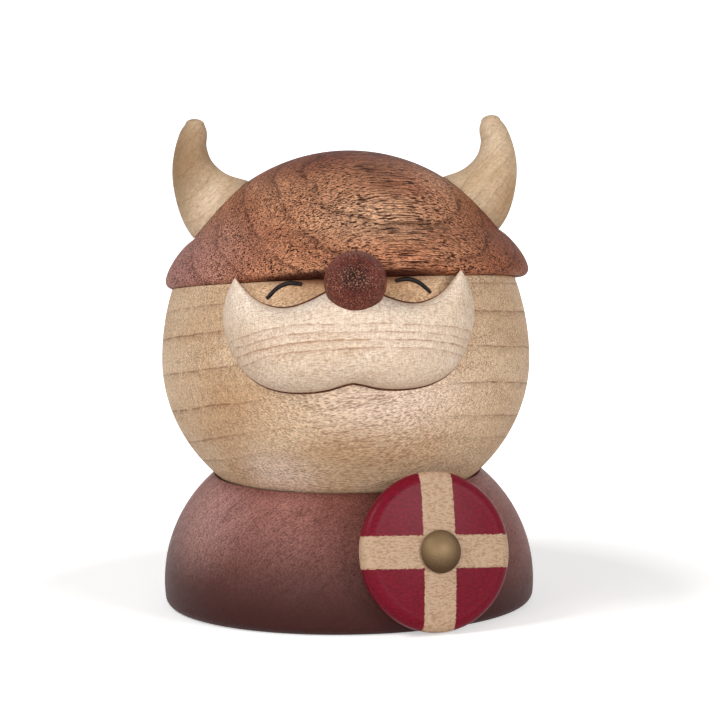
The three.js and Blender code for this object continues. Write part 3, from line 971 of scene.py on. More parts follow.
@dataclass(frozen=True)
class ShieldShape:
    """The round shield, a turned disc with a domed face and a rolled edge."""

    radius: float = 16.65
    thickness: float = 4.5
    dome: float = 0.9
    roll_in: float = 2.7
    roll_down: float = 2.0
    back_round: float = 1.2
    bore: float = 1.3
    round: float = 23.6
    lean: float = 11.0
    slide: float = 2.2
    gap: float = 0.4
    floor_gap: float = 0.15

    def place(self) -> Matrix:
        """Works out where the disc lies against the body.

        Returns:
            The disc's frame, with its back at z 0.
        """
        lean = math.radians(self.lean)
        turn = math.radians(self.round)
        height = self.floor_gap + self.radius * math.cos(lean)
        flank_radius = BodyAssembly.flank_radius
        reach = flank_radius + self.gap
        slid = (height - BodyAssembly.widest_height - math.sin(lean) * reach) / math.cos(lean)
        out = BodyAssembly.radius - flank_radius + math.cos(lean) * reach - math.sin(lean) * slid
        front = Vector((math.sin(turn), -math.cos(turn), 0))
        normal = (front * math.cos(lean)) + Vector((0, 0, math.sin(lean)))
        right = Vector((0, 0, 1)).cross(normal).normalized()
        up = normal.cross(right)
        middle = front * out + right * self.slide + Vector((0, 0, height))
        return Matrix.Translation(middle) @ Matrix((right, up, normal)).transposed().to_4x4()

    def outline(self) -> list[Vector]:
        """Gives the turned outline, which ends a little short of the axis, where the bore is.

        Returns:
            Points from the back, round the edge, to the middle of the face.
        """
        inner = self.radius - self.roll_in
        start = self.thickness - self.dome - self.roll_down
        curve = (inner ** 2 + self.dome ** 2) / (2 * self.dome)
        tilt = math.degrees(math.asin(inner / curve))
        stop = 90 - math.degrees(math.asin(self.bore / curve))
        back = self.back_round
        return [
            Vector((self.bore, 0)),
            *arc((self.radius - back, back), (back, back), -90, 0, steps=8),
            *arc((inner, start), (self.roll_in, self.roll_down), 0, 90, steps=16),
            *arc((0, self.thickness - curve), (curve, curve), 90 - tilt, stop, steps=24)[1:],
        ]


@dataclass
class Assembly:
    """What the sub-assemblies share: the shapes that meet, and the finishes by name."""

    ball: Ball
    cap: CapShape
    nose: Nose
    shield: ShieldShape
    finishes: dict[str, Material]

    def piece(self, name: str, bm: BMesh, look: str, slot: str, *nodes: str, body: str = "head_and_cap",
              place: Matrix | None = None, cuts: Sequence[BMesh] = (), cut_place: Matrix | None = None,
              crease: float = 32.0) -> None:
        """Makes a piece, with its cuts, its shading, its finish and its place on the figure.

        Args:
            name: The piece's name.
            bm: Its shape, which is used up.
            look: The name of its finish.
            slot: The record's material slot; not used.
            nodes: The plain solids that it stands for.
            body: The moving body that it rides on.
            place: Where its own frame lies, in millimetres, if not the face's.
            cuts: The shapes to cut away.
            cut_place: Where their frame lies, if not the face's.
            crease: Edges sharper than this many degrees stay crisp.
        """
        face = self.ball.face()
        piece = mesh_object(name, bm, face if place is None else place)
        if cuts:
            carve(piece, face if cut_place is None else cut_place, cuts)
        mesh = piece.data
        mesh.materials.clear()
        mesh.materials.append(self.finishes[look])
        mesh.shade_smooth()
        mesh.set_sharp_from_angle(angle=math.radians(crease))
        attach(piece, body)
        if nodes:
            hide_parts(*nodes)
        log.info("%s rides on %s with %d faces in %s", name, body, len(mesh.polygons), mesh.materials[0].name)


@dataclass
class BodyAssembly(Assembly):
    """The dished walnut body and the brass nail."""

    radius: float = 39.05
    widest_height: float = 5.0
    flank_radius: float = 29.9
    foot_round: float = 2.3
    rim_height: float = 28.25
    seat_gap: float = 0.3
    rim_soft: float = 0.3
    neck_radius: float = 5.0
    neck_depth: float = 12.0
    nail_head_radius: float = 4.58
    nail_head_height: float = 2.6
    nail_shank_radius: float = 1.0
    nail_grip: float = 10.0
    nail_seat: float = 4.8
    nail_edge: float = 0.32
    nail_sides: int = 96
    halvings: int = 40
    dish_chords: int = 40

    def dish(self, x: float) -> float:
        """Height of the dish at a distance from its middle."""
        share = x / (self.ball.radius + self.seat_gap)
        return self.ball.height - (self.ball.chin_drop + self.seat_gap) * math.sqrt(1 - share * share)

    def flank(self) -> list[Vector]:
        """Gives the outline from the foot up to where the flank meets the dish.

        Returns:
            The points.
        """
        centre = self.radius - self.flank_radius
        drop = self.foot_round - self.widest_height
        foot_centre = centre + math.sqrt((self.flank_radius - self.foot_round) ** 2 - drop ** 2)
        join = math.degrees(math.atan2(drop, foot_centre - centre))
        low = join
        high = math.degrees(math.asin((self.rim_height - self.widest_height) / self.flank_radius))
        for _ in range(self.halvings):
            middle = (low + high) / 2
            x = centre + self.flank_radius * math.cos(math.radians(middle))
            z = self.widest_height + self.flank_radius * math.sin(math.radians(middle))
            low, high = (low, middle) if z > self.dish(x) else (middle, high)
        foot = arc((foot_centre, self.foot_round), (self.foot_round, self.foot_round), -90, join, steps=10)
        side = arc((centre, self.widest_height), (self.flank_radius, self.flank_radius), join, low, steps=56)
        return foot + side[1:]

    def torso(self) -> None:
        """Turns the body, with its dish and its neck hole, and drills the nail's hole."""
        outline = self.flank()
        rim = outline[-1]
        hole = self.neck_radius + GLUE_GAP
        floor = self.dish(0) - self.neck_depth - SOCKET_SLACK
        reach = [rim.x + (hole - rim.x) * i / self.dish_chords for i in range(1, self.dish_chords + 1)]
        dish = [Vector((x, self.dish(x))) for x in reach]
        well = [Vector((hole, floor)), Vector((0, floor))]
        bm = turned([Vector((0, 0)), *outline, *dish, *well], steps=FINE_SIDES)
        soften(bm, rim.x, rim.y, self.rim_soft)
        drill = rod(Vector((0, 0, -self.nail_grip - SOCKET_SLACK)), Vector((0, 0, DRILL_PAST)),
                    self.nail_shank_radius + GLUE_GAP)
        self.piece("turned_body", bm, "torso", "torso_walnut", "torso", body="body", place=Matrix(),
                   cuts=[drill], cut_place=self.shield.place())

    def nail(self) -> None:
        """Turns the domed nail, with a rounded edge to its head."""
        shank, seat, head = self.nail_shank_radius, self.nail_seat, self.nail_head_radius
        rise = self.nail_head_height
        curve = (head ** 2 + rise ** 2) / (2 * rise)
        tilt = math.degrees(math.asin(head / curve))
        dome = arc((0, seat + rise - curve), (curve, curve), 90 - tilt, 90, steps=28)
        end = -self.nail_grip
        shaft = [Vector((0, end)), Vector((shank, 2 * shank + end)), Vector((shank, seat))]
        bm = turned(shaft + dome, steps=self.nail_sides)
        soften(bm, head, seat, self.nail_edge)
        self.piece("domed_nail", bm, "brass", "nail_brass", "shield_nail", body="body",
                   place=self.shield.place())

    def build(self) -> None:
        """Builds the body and the nail."""
        self.torso()
        self.nail()


@dataclass
class HeadAssembly(Assembly):
    """The ball head, cut flat for the cap, with two cut and blackened eyes."""

    cap_plane: float = 15.82
    neck_radius: float = 5.0
    neck_depth: float = 14.0
    eye_line: Stroke = Stroke(((9.5, 14.95), (12.2, 15.3), (14.7, 14.35), (16.9, 12.3)))
    eye_width: float = 1.0
    eye_sunk: float = 0.12
    eye_slack: float = 0.06
    eye_chords: int = 28
    eye_taper: tuple[float, float, float] = (0.06, 0.88, 0.4)
    peg_aside: float = 11.0
    peg_height: float = 3.0
    peg_out: float = 4.0
    peg_in: float = 8.0
    peg_radius: float = 1.5

    def eye_tube(self, side: Side, width: float, sunk: float, taper: bool) -> BMesh:
        """Makes a tube that lies along an eye's line.

        Args:
            side: Which eye.
            width: Its width.
            sunk: How far its middle lies inside the ball.
            taper: Whether its ends are pointed.

        Returns:
            The tube.
        """
        first, run, power = self.eye_taper
        middle = []
        radii = []
        for i, p in enumerate(self.eye_line.even(self.eye_chords)):
            x = side.value * p.x
            middle.append(Vector((x, self.ball.front(x, p.y) + sunk, p.y)))
            thin = math.sin(math.pi * (first + run * i / self.eye_chords)) ** power if taper else 1.0
            radii.append(thin * width / 2)
        return tube(middle, radii)

    def peg_holes(self) -> list[BMesh]:
        """Makes the holes for the moustache's pegs.

        Returns:
            The left hole and the right one.
        """
        height = self.peg_height
        holes = []
        for side in Side:
            x = side.value * self.peg_aside
            surface = self.ball.front(x, height)
            holes.append(rod(Vector((x, surface - self.peg_out - SOCKET_SLACK, height)),
                             Vector((x, surface + self.peg_in + SOCKET_SLACK, height)),
                             self.peg_radius + GLUE_GAP, PEG_SIDES))
        return holes

    def build(self) -> None:
        """Turns the ball, cuts it flat, carves its seats and lays the eyes."""
        shape = self.ball
        hole = self.neck_radius + GLUE_GAP
        start = -math.degrees(math.acos(hole / shape.radius))
        inside = -shape.chin_drop + self.neck_depth + SOCKET_SLACK
        below = arc((0, 0), (shape.radius, shape.chin_drop), start, 0, steps=44)
        above = arc((0, 0), (shape.radius, shape.crown_rise), 0, 90, steps=40)
        bm = turned([Vector((0, inside)), Vector((hole, inside)), *below, *above[1:]], steps=FINE_SIDES)
        flat = Vector((0, 0, self.cap_plane))
        turn = shape.turn()
        cut = bmesh.ops.bisect_plane(bm, geom=bm.verts[:] + bm.edges[:] + bm.faces[:],
                                     plane_co=turn @ flat, plane_no=turn @ Vector((0, 0, 1)),
                                     clear_outer=True)
        edges = [e for e in cut["geom_cut"] if isinstance(e, BMEdge)]
        bmesh.ops.contextual_create(bm, geom=edges)
        bmesh.ops.recalc_face_normals(bm, faces=bm.faces)
        grooves = [self.eye_tube(side, self.eye_width, 0.0, False) for side in Side]
        drills = [self.cap.dowel_hole(), self.nose.peg_hole(shape), *self.peg_holes()]
        self.piece("ball_head", bm, "head", "head_maple", "head",
                   place=Matrix.Translation((0, 0, shape.height)),
                   cuts=[self.nose.hollow(), *drills, *grooves])
        for side in Side:
            line = self.eye_tube(side, self.eye_width - self.eye_slack, self.eye_sunk, True)
            self.piece(f"eye_line_{side.word}", line, "lacquer", "head_maple", crease=80.0)


@dataclass
class CapAssembly(Assembly):
    """The walnut cap and its two maple horns."""

    outer_edge: Stroke = Stroke((
        (-2.7, -2.9), (0.9, 0.9), (2.9, 4.7), (4.1, 9.4), (4.4, 13.6), (3.8, 17.6), (2.55, 21.2), (1.3, 22.95),
    ))
    inner_edge: Stroke = Stroke((
        (-17.5, 9.2), (-11.5, 11.3), (-7.1, 12.8), (-4.2, 15.3), (-3.1, 18.2), (-3.25, 20.4), (-3.2, 21.6),
        (-2.85, 22.6),
    ))
    horn_shift: float = 0.35
    horn_flatness: float = 0.82
    left_taller: float = 1.416
    tip_round: float = 1.3
    dowel_radius: float = 2.3
    dowel_half: float = 6.5
    dowel_in: float = 4.0
    seat_room: Vector = Vector((0.45, 0, 0.55))
    foot_soft: float = 0.5
    horn_sides: int = 48
    sections: int = 54
    tip_rings: tuple[int, ...] = (15, 30, 45, 60, 75, 87)

    def dowel_hole(self, side: Side) -> BMesh:
        """The hole for a horn's dowel.

        Args:
            side: Which horn.

        Returns:
            The hole.
        """
        cap = self.cap
        slope = math.asin((cap.dome_radius - self.dowel_in) / cap.dome_sphere)
        way = Vector((side.value * math.sin(slope), 0, math.cos(slope)))
        middle = Vector((cap.shift, 0, cap.dome_foot + cap.dome_rise - cap.dome_sphere))
        crossing = middle + way * cap.dome_sphere
        reach = self.dowel_half + SOCKET_SLACK
        return rod(crossing - way * reach, crossing + way * reach, self.dowel_radius + GLUE_GAP)

    def helmet(self) -> None:
        """Turns the cap and cuts the seats of the nose and the horns' dowels."""
        cap = self.cap
        bm = turned(cap.profile(0, True), steps=FINE_SIDES)
        soften(bm, cap.dome_radius, cap.dome_foot, self.foot_soft, segments=4)
        bmesh.ops.translate(bm, vec=(cap.shift, 0, 0), verts=bm.verts)
        seats = [self.nose.hollow(), self.nose.hollow(self.seat_room)]
        self.piece("walnut_cap", bm, "cap", "cap_walnut", "helmet",
                   cuts=[*seats, *(self.dowel_hole(side) for side in Side)])

    def horn(self, side: Side) -> None:
        """Carves one horn, oval in section, from its root in the dome to its rounded tip.

        Args:
            side: Which horn.
        """
        cap = self.cap
        tip_height = self.outer_edge.marks[-1][1]
        stretch = 1 + (self.left_taller / tip_height if side is Side.LEFT else 0)
        rows = []
        for i in range(self.sections + 1):
            ends = []
            for edge in (self.outer_edge, self.inner_edge):
                p = edge.at(i / self.sections)
                rise = p.y * (stretch if p.y > 0 else 1)
                ends.append(Vector((cap.dome_radius + p.x, cap.dome_foot + rise)))
            rows.append((ends[0], ends[1], 1.0, Vector((0, 0))))
        outer, inner = rows[-1][0], rows[-1][1]
        ahead = Vector((inner.y - outer.y, outer.x - inner.x)).normalized()
        for degrees in self.tip_rings:
            a = math.radians(degrees)
            rows.append((outer, inner, math.cos(a), ahead * self.tip_round * math.sin(a)))
        bm = bmesh.new()
        rings = []
        for outer, inner, share, push in rows:
            middle = (outer + inner) / 2 + push
            half = (outer - inner) / 2 * share
            size = half.length
            axis_x = Vector((side.value * half.x, 0, half.y)) / size
            axis_y = Vector((0, 1, 0))
            axis_z = axis_x.cross(axis_y)
            turn = Matrix((axis_x * size, axis_y * size * self.horn_flatness, axis_z)).transposed().to_4x4()
            place = Vector((side.value * middle.x + cap.shift + self.horn_shift, 0, middle.y))
            made = bmesh.ops.create_circle(bm, segments=self.horn_sides, radius=1.0,
                                           matrix=Matrix.Translation(place) @ turn)
            rings.append(made["verts"])
        join_rings(bm, rings)
        horn = f"horn_{side.word}"
        self.piece(f"carved_{horn}", bm, horn, "horn_maple", horn, cuts=[cap.grown(), self.dowel_hole(side)])

    def build(self) -> None:
        """Builds the cap and the horns."""
        self.helmet()
        for side in Side:
            self.horn(side)


@dataclass
class FaceAssembly(Assembly):
    """The carved moustache and the ball nose."""

    head: HeadAssembly
    top_edge: Stroke = Stroke((
        (0, 13.9), (4.0, 13.1), (7.6, 11.5), (11.2, 10.3), (14.3, 10.1), (17.6, 11.1), (20.2, 12.9),
        (21.9, 15.0), (23.1, 16.7),
    ))
    low_edge: Stroke = Stroke((
        (0, -5.5), (2.0, -5.9), (5.6, -6.8), (10.4, -7.1), (15.2, -6.5), (19.2, -4.8), (22.3, -1.9),
        (24.4, 2.1), (25.5, 5.8), (25.8, 8.9), (25.3, 12.0), (24.4, 14.8), (23.4, 16.7),
    ))
    edge: float = 0.9
    edge_flare: float = 0.2
    most_flare: float = 0.05
    line_top: float = 0.8
    line_low: float = 0.5
    line_out: float = 0.22
    line_top_width: float = 0.6
    line_low_width: float = 0.7
    line_chords: int = 72
    line_taper: tuple[float, float, float] = (0.02, 0.96, 0.7)
    line_end: float = 0.12
    fullness: float = 6.2
    dip: float = 0.22
    tip_lift: float = 5.0
    tip_swell: float = 1.4
    tip_start: float = 0.62
    roundness: float = 2.3
    half_sections: int = 64
    across: int = 28
    least_height: float = 1e-6
    weld: float = 1e-3

    def moustache(self) -> None:
        """Carves the moustache, whose two lobes swell and lift to their tips."""
        half = self.half_sections
        top = self.top_edge.even(half)
        low = self.low_edge.even(half)
        bm = bmesh.new()
        bmesh.ops.create_grid(bm, x_segments=2 * half, y_segments=self.across, size=1.0)
        front = list(bm.verts)
        sheet = bm.faces[:] + bm.edges[:] + bm.verts[:]
        copied = bmesh.ops.extrude_face_region(bm, geom=sheet, use_keep_orig=True)
        back = [v for v in copied["geom"] if isinstance(v, BMVert)]
        for places, is_front in ((front, True), (back, False)):
            for v in places:
                section = round(v.co.x * half)
                k = abs(section)
                out = k / half
                cross = (1 - math.cos(math.pi * (v.co.y + 1) / 2)) / 2
                tall = max((top[k] - low[k]).length, self.least_height)
                flare = min(self.edge_flare / tall, self.most_flare)
                spread = 0.0 if is_front else flare
                flat = low[k].lerp(top[k], cross + spread * (2 * cross - 1))
                x = math.copysign(flat.x, section)
                if not is_front:
                    v.co = (x, self.ball.front(x, flat.y, SEAM), flat.y)
                    continue
                tip = min(max((out - self.tip_start) / (1 - self.tip_start), 0), 1)
                tip = tip * tip * (3 - 2 * tip)
                rim = self.edge + (self.tip_lift - self.edge) * tip
                swell = self.fullness + (self.tip_swell - self.fullness) * tip
                swell *= 1 - self.dip * (1 - out) ** 4
                bulge = (1 - abs(2 * cross - 1) ** self.roundness) ** (1 / self.roundness)
                v.co = (x, self.ball.front(x, flat.y) - rim - swell * bulge, flat.y)
        bmesh.ops.remove_doubles(bm, verts=bm.verts, dist=self.weld)
        bmesh.ops.recalc_face_normals(bm, faces=bm.faces)
        cuts = [self.cap.grown(), self.nose.hollow(), self.nose.peg_hole(self.ball), *self.head.peg_holes()]
        self.piece("carved_moustache", bm, "moustache", "moustache_maple", "moustache", cuts=cuts,
                   crease=50.0)

    def knife_line(self) -> None:
        """Lays a dark line of painted shade along the moustache's edges, where it meets the head."""
        first, run, power = self.line_taper
        end = self.line_end
        for word, edge, share, width, rise in (
                ("top", self.top_edge, self.line_top, self.line_top_width, self.line_out),
                ("low", self.low_edge, self.line_low, self.line_low_width, -self.line_out)):
            last = round(self.line_chords * share)
            half = edge.even(self.line_chords)[:last + 1]
            places = [Vector((-p.x, p.y)) for p in reversed(half[1:])] + half
            middle = [Vector((p.x, self.ball.front(p.x, p.y + rise), p.y + rise)) for p in places]
            thin = [math.sin(math.pi * (first + run * i / (2 * last))) for i in range(2 * last + 1)]
            radii = [width / 2 * (end + (1 - end) * part) ** power for part in thin]
            line = tube(middle, radii, sides=12)
            self.piece(f"knife_line_{word}", line, "burnt", "moustache_maple", crease=80.0)

    def ball_nose(self) -> None:
        """Turns the nose and drills its peg hole."""
        radius = self.nose.radius
        bead = turned(arc((0, 0), (radius, radius), -90, 90, steps=64), steps=CUTTER_SIDES)
        bmesh.ops.translate(bead, vec=self.nose.centre, verts=bead.verts)
        self.piece("ball_nose", bead, "nose", "nose_walnut", "nose", cuts=[self.nose.peg_hole(self.ball)])

    def build(self) -> None:
        """Builds the moustache, its outline of painted shade and the nose."""
        self.moustache()
        self.knife_line()
        self.ball_nose()


@dataclass
class ShieldAssembly(Assembly):
    """The painted shield, which turns on the nail."""

    def build(self) -> None:
        """Turns the shield."""
        disc = turned(self.shield.outline(), closed=True)
        self.piece("painted_shield", disc, "paint", "shield_paint", "shield", body="round_shield",
                   place=self.shield.place())


@dataclass(frozen=True)
class Lamp:
    """One square soft light: its place, width and aim in metres, and its power in watts."""

    name: str
    place: tuple[float, float, float]
    size: float
    power: float
    aim_height: float = 0.05

    def hang(self) -> None:
        """Hangs the light, aimed at the figure."""
        data = bpy.data.lights.new(self.name, "AREA")
        data.shape = "SQUARE"
        data.size = self.size
        data.energy = self.power
        aim = Vector((0, 0, self.aim_height)) - Vector(self.place)
        turn = aim.to_track_quat("-Z", "Y").to_matrix().to_4x4()
        add_object(self.name, data).matrix_world = Matrix.Translation(self.place) @ turn


@dataclass
class Studio:
    """A pale floor, a camera and soft lights."""

    view_distance: float = 1.266
    view_target: Vector = Vector((0.00299, 0.0, 0.0517))
    view_down: float = 8.62
    view_roll: float = 0.806
    lens: float = 300.0
    film_width: float = 36.0
    sight: tuple[float, float] = (0.05, 50.0)
    floor_half: float = 6000.0
    white_from: float = 0.07
    white_at: float = 0.12
    near_glow: float = 0.45
    room_light: float = 0.2
    lamps: tuple[Lamp, ...] = (
        Lamp("left_light", (-0.58, -1.05, 0.24), 0.4, 3.1),
        Lamp("right_light", (0.84, -0.86, 0.46), 0.4, 5.9),
        Lamp("front_light", (0.08, -1.25, 0.32), 0.3, 1.6),
        Lamp("high_light", (-0.72, -0.52, 0.92), 0.35, 5.0),
        Lamp("back_light", (0.3, 1.35, 0.6), 0.9, 1.6),
    )

    def camera(self) -> None:
        """Sets the camera where the picture was taken."""
        down = math.radians(self.view_down)
        roll = math.radians(self.view_roll)
        forward = Vector((0, math.cos(down), -math.sin(down)))
        right = Vector((1, 0, 0))
        up = Vector((0, math.sin(down), math.cos(down)))
        turned_right = right * math.cos(roll) - up * math.sin(roll)
        turned_up = right * math.sin(roll) + up * math.cos(roll)
        data = bpy.data.cameras.new("front_view")
        data.lens = self.lens
        data.sensor_width = self.film_width
        data.clip_start, data.clip_end = self.sight
        camera = add_object("front_view", data)
        axes = Matrix((turned_right, turned_up, -forward)).transposed().to_4x4()
        camera.matrix_world = Matrix.Translation(self.view_target - forward * self.view_distance) @ axes
        bpy.context.scene.camera = camera

    def seen_directly(self, tree: NodeTree) -> Feed:
        """Tells the rays that show the room, straight or in a gloss, from those that light it.

        Args:
            tree: The node tree.

        Returns:
            A value that is 1 for a ray that shows it.
        """
        path = add_node(tree, "LightPath")
        seen = path.outputs["Is Camera Ray"]
        for kind in ("Is Glossy Ray", "Is Transmission Ray"):
            seen = add_node(tree, "Math", {0: seen, 1: path.outputs[kind]}, operation="MAXIMUM")
        return seen

    def floor(self) -> None:
        """Lays a plain pale floor that shows white and keeps the figure's soft shadow."""
        bm = bmesh.new()
        bmesh.ops.create_grid(bm, x_segments=1, y_segments=1, size=self.floor_half)
        floor = mesh_object("floor", bm, Matrix())
        material = bpy.data.materials.new("matt_white_paper")
        material.use_nodes = True
        tree = material.node_tree
        tree.nodes.clear()
        place = add_node(tree, "TexCoord").outputs["Object"]
        away = add_node(tree, "VectorMath", {0: place}, operation="LENGTH").outputs["Value"]
        glow = add_node(tree, "MapRange", {
            "Value": away, **span(self.white_from, self.white_at, self.near_glow),
        })
        lit = add_node(tree, "BsdfDiffuse", {"Color": colour("ffffff")})
        shine = add_node(tree, "Emission", {"Color": colour("ffffff"), "Strength": glow})
        both = add_node(tree, "AddShader", {0: lit, 1: shine})
        plain = add_node(tree, "BsdfDiffuse", {"Color": colour("e8e4e0")})
        chosen = add_node(tree, "MixShader", {0: self.seen_directly(tree), 1: plain, 2: both})
        add_node(tree, "OutputMaterial", {"Surface": chosen})
        floor.data.materials.append(material)

    def world(self) -> None:
        """Lights the room evenly at a plain level and shows it white."""
        world = bpy.data.worlds.new("pale_room")
        bpy.context.scene.world = world
        world.use_nodes = True
        tree = world.node_tree
        tree.nodes.clear()
        shown = self.seen_directly(tree)
        strength = add_node(tree, "MapRange", {"Value": shown, "To Min": self.room_light, "To Max": 1.0})
        glow = add_node(tree, "Background", {"Color": colour("ffffff"), "Strength": strength})
        add_node(tree, "OutputWorld", {"Surface": glow})

    def build(self) -> None:
        """Sets up the floor, the world and the lights."""
        self.floor()
        self.world()
        for lamp in self.lamps:
            lamp.hang()
        bpy.context.scene.view_settings.view_transform = "Standard"


def wood_finishes(shape: Ball) -> dict[str, Wood]:
    """Chooses each wooden piece's finish and the board that it is cut from.

    Args:
        shape: The ball, whose face frame the boards follow.

    Returns:
        The woods by name.
    """
    face = shape.face()
    ground = Matrix()

    def board(x: float, y: float, z: float, base: Matrix = face) -> Matrix:
        """A board turned by three angles in degrees, about x, then y, then z."""
        return (base @ Matrix.Rotation(math.radians(z), 4, "Z") @ Matrix.Rotation(math.radians(y), 4, "Y")
                @ Matrix.Rotation(math.radians(x), 4, "X"))

    head = Wood(
        "sanded_maple_head",
        "hard maple, turned and sanded fine, bare: warm tan with thin brown ring lines and fine ray fleck",
        board(0, -2.6, 0), pale="d8be9f", deep="c09c78", ring_colour="7c4e30",
        rings=(Ring(13.7, 0.8), Ring(8.0, 1.0), Ring(0.5, 0.9), Ring(-7.2, 1.0), Ring(-13.9, 0.9),
               Ring(-18.4, 0.6)),
        patches=(
            # Painted light: the front below the middle is lighter.
            Patch(face, (8, -36, -9), (28, 24, 13), "f0dccc", 0.6, 0.1),
            # Painted shade: the left side is darker.
            Patch(face, (-26, -26, -10), (12, 24, 12), "b98e66", 0.6, 0.1),
            # Painted light: the lower left is lighter.
            Patch(face, (-18, -28, -25), (15, 14, 9), "f8e6d8", 0.8, 0.1),
            # Painted shade round the eyes, under the brim.
            Patch(face, (0, -35, 14.5), (27, 12, 9), "b98a5e", 0.75, 0.1),
            # Painted shadow of the brim, just under the cap.
            Patch(face, (0, -36, 16.4), (29, 12, 2.7), "5a2812", 0.9, 0.3),
            # Painted shade low on the ball, down by the body.
            Patch(face, (2, -33, -21), (34, 24, 7), "a88460", 0.5, 0.1),
        ),
        ring_share=0.9, ring_clear=24.0, arch=0.0008, wander=0.9, vessel_colour="8a5c38",
        vessel_size=(1.8, 0.28, 0.28), speck=0.42, speck_size=(0.9, 0.24, 0.24), ray_size=(0.8, 0.26, 2.2),
        roughness=0.6, gloss=0.2, relief=0.03, streak_share=0.2, streak_size=(9.0, 0.7, 0.6),
    )
    moustache = Wood(
        "sanded_pale_maple_moustache",
        "sapwood of maple, carved and sanded, bare: cream with a few broken orange ring lines",
        board(-12, 0, 0), pale="e6d4c0", deep="d4bca0", ring_colour="a06236",
        rings=(*(Ring(height, strength, 0.3, 1.2) for height, strength in (
            (-3.3, 0.8), (-5.0, 0.8), (-6.6, 1.0), (-8.3, 0.8))), Ring(-15.4, 0.5)),
        # Painted light: the lobes' upper faces are lighter.
        patches=(Patch(face, (0, -36, 14), (34, 20, 8), "fff2e2", 0.8, 0.2),
                 # Painted shade on the moustache's walls and back, close to the head.
                 Patch(ground, (0, 0, 52.1), (39.3, 39.3, 44.45), "8a5230", 0.8, 0.985)),
        ring_share=0.8, wander=1.6, vessel_colour="b0815a", vessel_size=(1.2, 0.3, 0.3),
        vessel_level=0.66, vessel_share=0.5, speck=0.26, speck_size=(0.9, 0.24, 0.24),
        ray_size=(0.26, 1.0, 1.6), ray=0.14, roughness=0.6, gloss=0.16, relief=0.06, streak_share=0.12,
        streak_size=(7.0, 0.6, 0.6),
    )
    cap = Wood(
        "oiled_walnut_cap",
        # The rosy tone in the note is the painted sheen on the left side.
        "black walnut, turned and oiled: orange brown with open dark vessels, rosy where the oil is thin",
        board(33, 2, 18), pale="d89a74", deep="a65c40", ring_colour="3c1208",
        rings=(Ring(14.0, 0.6, 0.6, 2.4), Ring(20.0, 0.8, 0.6, 2.4), Ring(26.0, 0.7, 0.6, 2.4),
               Ring(31.5, 0.9, 0.6, 2.4), Ring(36.0, 0.9, 0.6, 2.2), Ring(39.5, 1.0, 0.6, 2.0),
               Ring(43.0, 0.7, 0.5, 2.0)),
        patches=(
            # Painted sheen: the rosy tone on the left side.
            Patch(face, (-34, -8, 20), (30, 40, 17), "c68e84", 0.85, 0.2),
            # Painted shade: the top of the dome is darker.
            Patch(face, (2, 0, 50), (42, 42, 20), "6a2203", 0.92, 0.3),
            # Painted shade: the right side is darker.
            Patch(face, (36, -4, 24), (22, 40, 20), "8a4026", 0.8, 0.2),
            # Painted light: the front of the dome is lighter.
            Patch(face, (6, -34, 30), (22, 16, 10), "ecbc96", 0.78, 0.15),
            # Painted shade on the brim's lower edge and underside.
            Patch(face, (0, -40, 15.2), (40, 14, 3.1), "2e0d05", 0.95, 0.6),
        ),
        ring_share=0.8, wander=2.2, roughness=0.55, gloss=0.08, relief=0.26, vessel_colour="30100a",
        # The pale specks are partly the walnut's own pores and fibres and partly painted glints.
        vessel_size=(4.0, 0.25, 0.25), vessel_level=0.56, vessel_band=0.02, vessel_share=0.95, speck=0.6,
        speck_size=(0.6, 0.2, 0.2), streak_size=(16.0, 0.45, 0.45), streak_share=0.35, ray=0.08,
    )
    torso = Wood(
        "oiled_dark_walnut_body",
        # The note's darkening towards the foot is painted shade.
        "dark walnut heartwood, turned and oiled, soaked darker towards the foot: purple brown, "
        "fine pale streaks",
        board(0, -38, 0, ground), pale="9c6a60", deep="7c4d45", ring_colour="4a2522",
        patches=(
            # Painted shade that darkens the body towards the foot.
            Patch(ground, (0, 0, -14), (400, 400, 46), "2c110f", 0.97, 0.36),
            # Painted shadow of the head on the front, below the seam.
            Patch(ground, (6, -34, 30), (24, 16, 16), "522419", 0.8, 0.1),
            # Painted highlight on the upper left.
            Patch(ground, (-33, -20, 24), (18, 22, 17), "c0968e", 0.6, 0.1),
            # Painted shade in a band round the dish's rim, under the head.
            Patch(ground, (0, 0, 52.1), (42.2, 42.2, 37.2), "4a2018", 0.4, 0.92),
            # Painted shade: the right side is darker.
            Patch(ground, (40, 0, 16), (22, 60, 16), "7c463c", 0.45, 0.2),
        ),
        roughness=0.5, gloss=0.14, relief=0.09, vessel_size=(2.0, 0.28, 0.28),
        # The pale specks are partly the walnut's own pores and fibres and partly painted glints.
        vessel_colour="44201c", vessel_level=0.66, vessel_share=0.45, speck=0.62,
        speck_size=(0.45, 0.24, 0.24), streak_share=0.2,
    )
    nose = Wood(
        "polished_dark_walnut_nose",
        "dark walnut end grain, turned and polished: red brown with fine pale specks",
        board(0, 0, -90), pale="70392f", deep="4a2119", ring_colour="220b08", roughness=0.45, gloss=0.12,
        relief=0.1, vessel_size=(0.7, 0.3, 0.3), vessel_colour="b88068", vessel_level=0.61, vessel_share=0.6,
        # The pale specks are partly the walnut's own pores and fibres and partly painted glints.
        speck=0.85, speck_size=(0.4, 0.28, 0.28), blotch_size=7.0,
        patches=(Patch(face, (0.9, -47.4, 15.6), (5.6, 4.4, 5.4), "220a07", 0.95, 0.15),),
    )
    beech = Wood(
        "planed_beech_dowel",
        "beech dowel rod, planed round and bare: pale pinkish tan with short brown flecks",
        board(0, 90, 0), pale="d2ad7f", deep="bd9265", ring_colour="94653c", roughness=0.65, gloss=0.25,
        relief=0.02, vessel_size=(1.6, 0.4, 0.4), vessel_colour="8d5f3a", vessel_share=0.4, ray=0.2,
    )
    woods = {"head": head, "moustache": moustache, "cap": cap, "torso": torso, "nose": nose, "beech": beech}
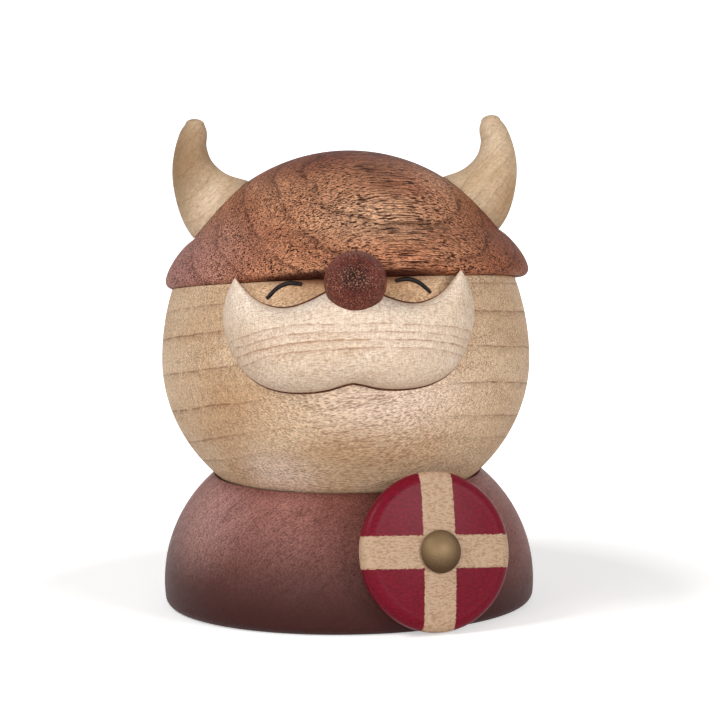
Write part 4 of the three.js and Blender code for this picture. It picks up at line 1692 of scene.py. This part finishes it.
    # Painted shade darkens each horn's outer side, and painted light lightens its inner side.
    horn_shade_and_light = {
        Side.LEFT: (Patch(face, (-32, 0, 41), (8, 10, 17), "80613f", 0.8, 0.2),
                    Patch(face, (-26, 0, 31), (9, 12, 9), "f0dac0", 0.8, 0.2)),
        Side.RIGHT: (Patch(face, (34.5, 0, 33), (5, 9, 11), "a67c54", 0.6, 0.1),
                     Patch(face, (30, 0, 46), (6, 12, 9), "dcc4a8", 0.6, 0.2)),
    }
    horn_rings = {Side.LEFT: (31, 35, 38.5, 42, 46, 50, 53.5), Side.RIGHT: (-1, 2, 5, 7.5, 10.5, 13, 16)}
    for side in Side:
        woods[f"horn_{side.word}"] = Wood(
            f"sanded_maple_horn_{side.word}",
            "hard maple, carved and sanded fine, bare: mottled tan with faint crossing figure",
            board(20, -42, 0), pale="d6bd9e", deep="c09e7a", ring_colour="7c5836",
            rings=tuple(Ring(height, 0.6) for height in horn_rings[side]),
            patches=horn_shade_and_light[side],
            wander=1.2, vessel_colour="8a5c38", vessel_size=(1.6, 0.3, 0.3), vessel_level=0.66,
            vessel_share=0.35, speck=0.14, speck_size=(0.8, 0.26, 0.26), ray=0.08, ray_size=(0.8, 0.26, 2.2),
            roughness=0.6, gloss=0.16, relief=0.03, blotch_size=9.0, streak_share=0.15,
        )
    return woods


def main() -> None:
    """Builds the studio and the figure, one sub-assembly after the other."""
    logging.basicConfig(level=logging.INFO, format="%(name)s: %(message)s")
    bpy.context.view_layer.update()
    studio = Studio()
    studio.camera()
    ball = Ball()
    shield = ShieldShape()
    disc = shield.place()
    looks: dict[str, Finish] = {
        **wood_finishes(ball),
        "lacquer": LineColour("black_lacquer", "black lacquer brushed into a cut line: dull black"),
        # A dark red brown line of painted shade, where the moustache meets the head.
        "burnt": LineColour("burnt_knife_cut", "maple, cut with a hot knife: scorched red brown",
                            dark="4a2416", worn="8a5230"),
        # The nail's paler top is a painted highlight.
        "brass": AgedBrass("aged_brass",
                           "stamped brass nail, left to darken: olive brown, paler where worn", disc),
        "paint": CrossPaint("brushed_satin_crimson",
                            "satin crimson paint brushed on maple around a bare cross", disc),
    }
    finishes = {name: look.make() for name, look in looks.items()}
    plan = (ball, CapShape(), Nose(), shield, finishes)
    head = HeadAssembly(*plan)
    face = FaceAssembly(*plan, head)
    for assembly in (BodyAssembly(*plan), head, CapAssembly(*plan), face, ShieldAssembly(*plan)):
        assembly.build()
    for name, node in frame["nodes"].items():
        if "dowel" in name or "peg" in name:
            node.data.materials.clear()
            node.data.materials.append(finishes["beech"])
            log.info("%s keeps its solid and is dressed in %s", name, finishes["beech"].name)
    studio.build()


if __name__ == "__main__":
    main()
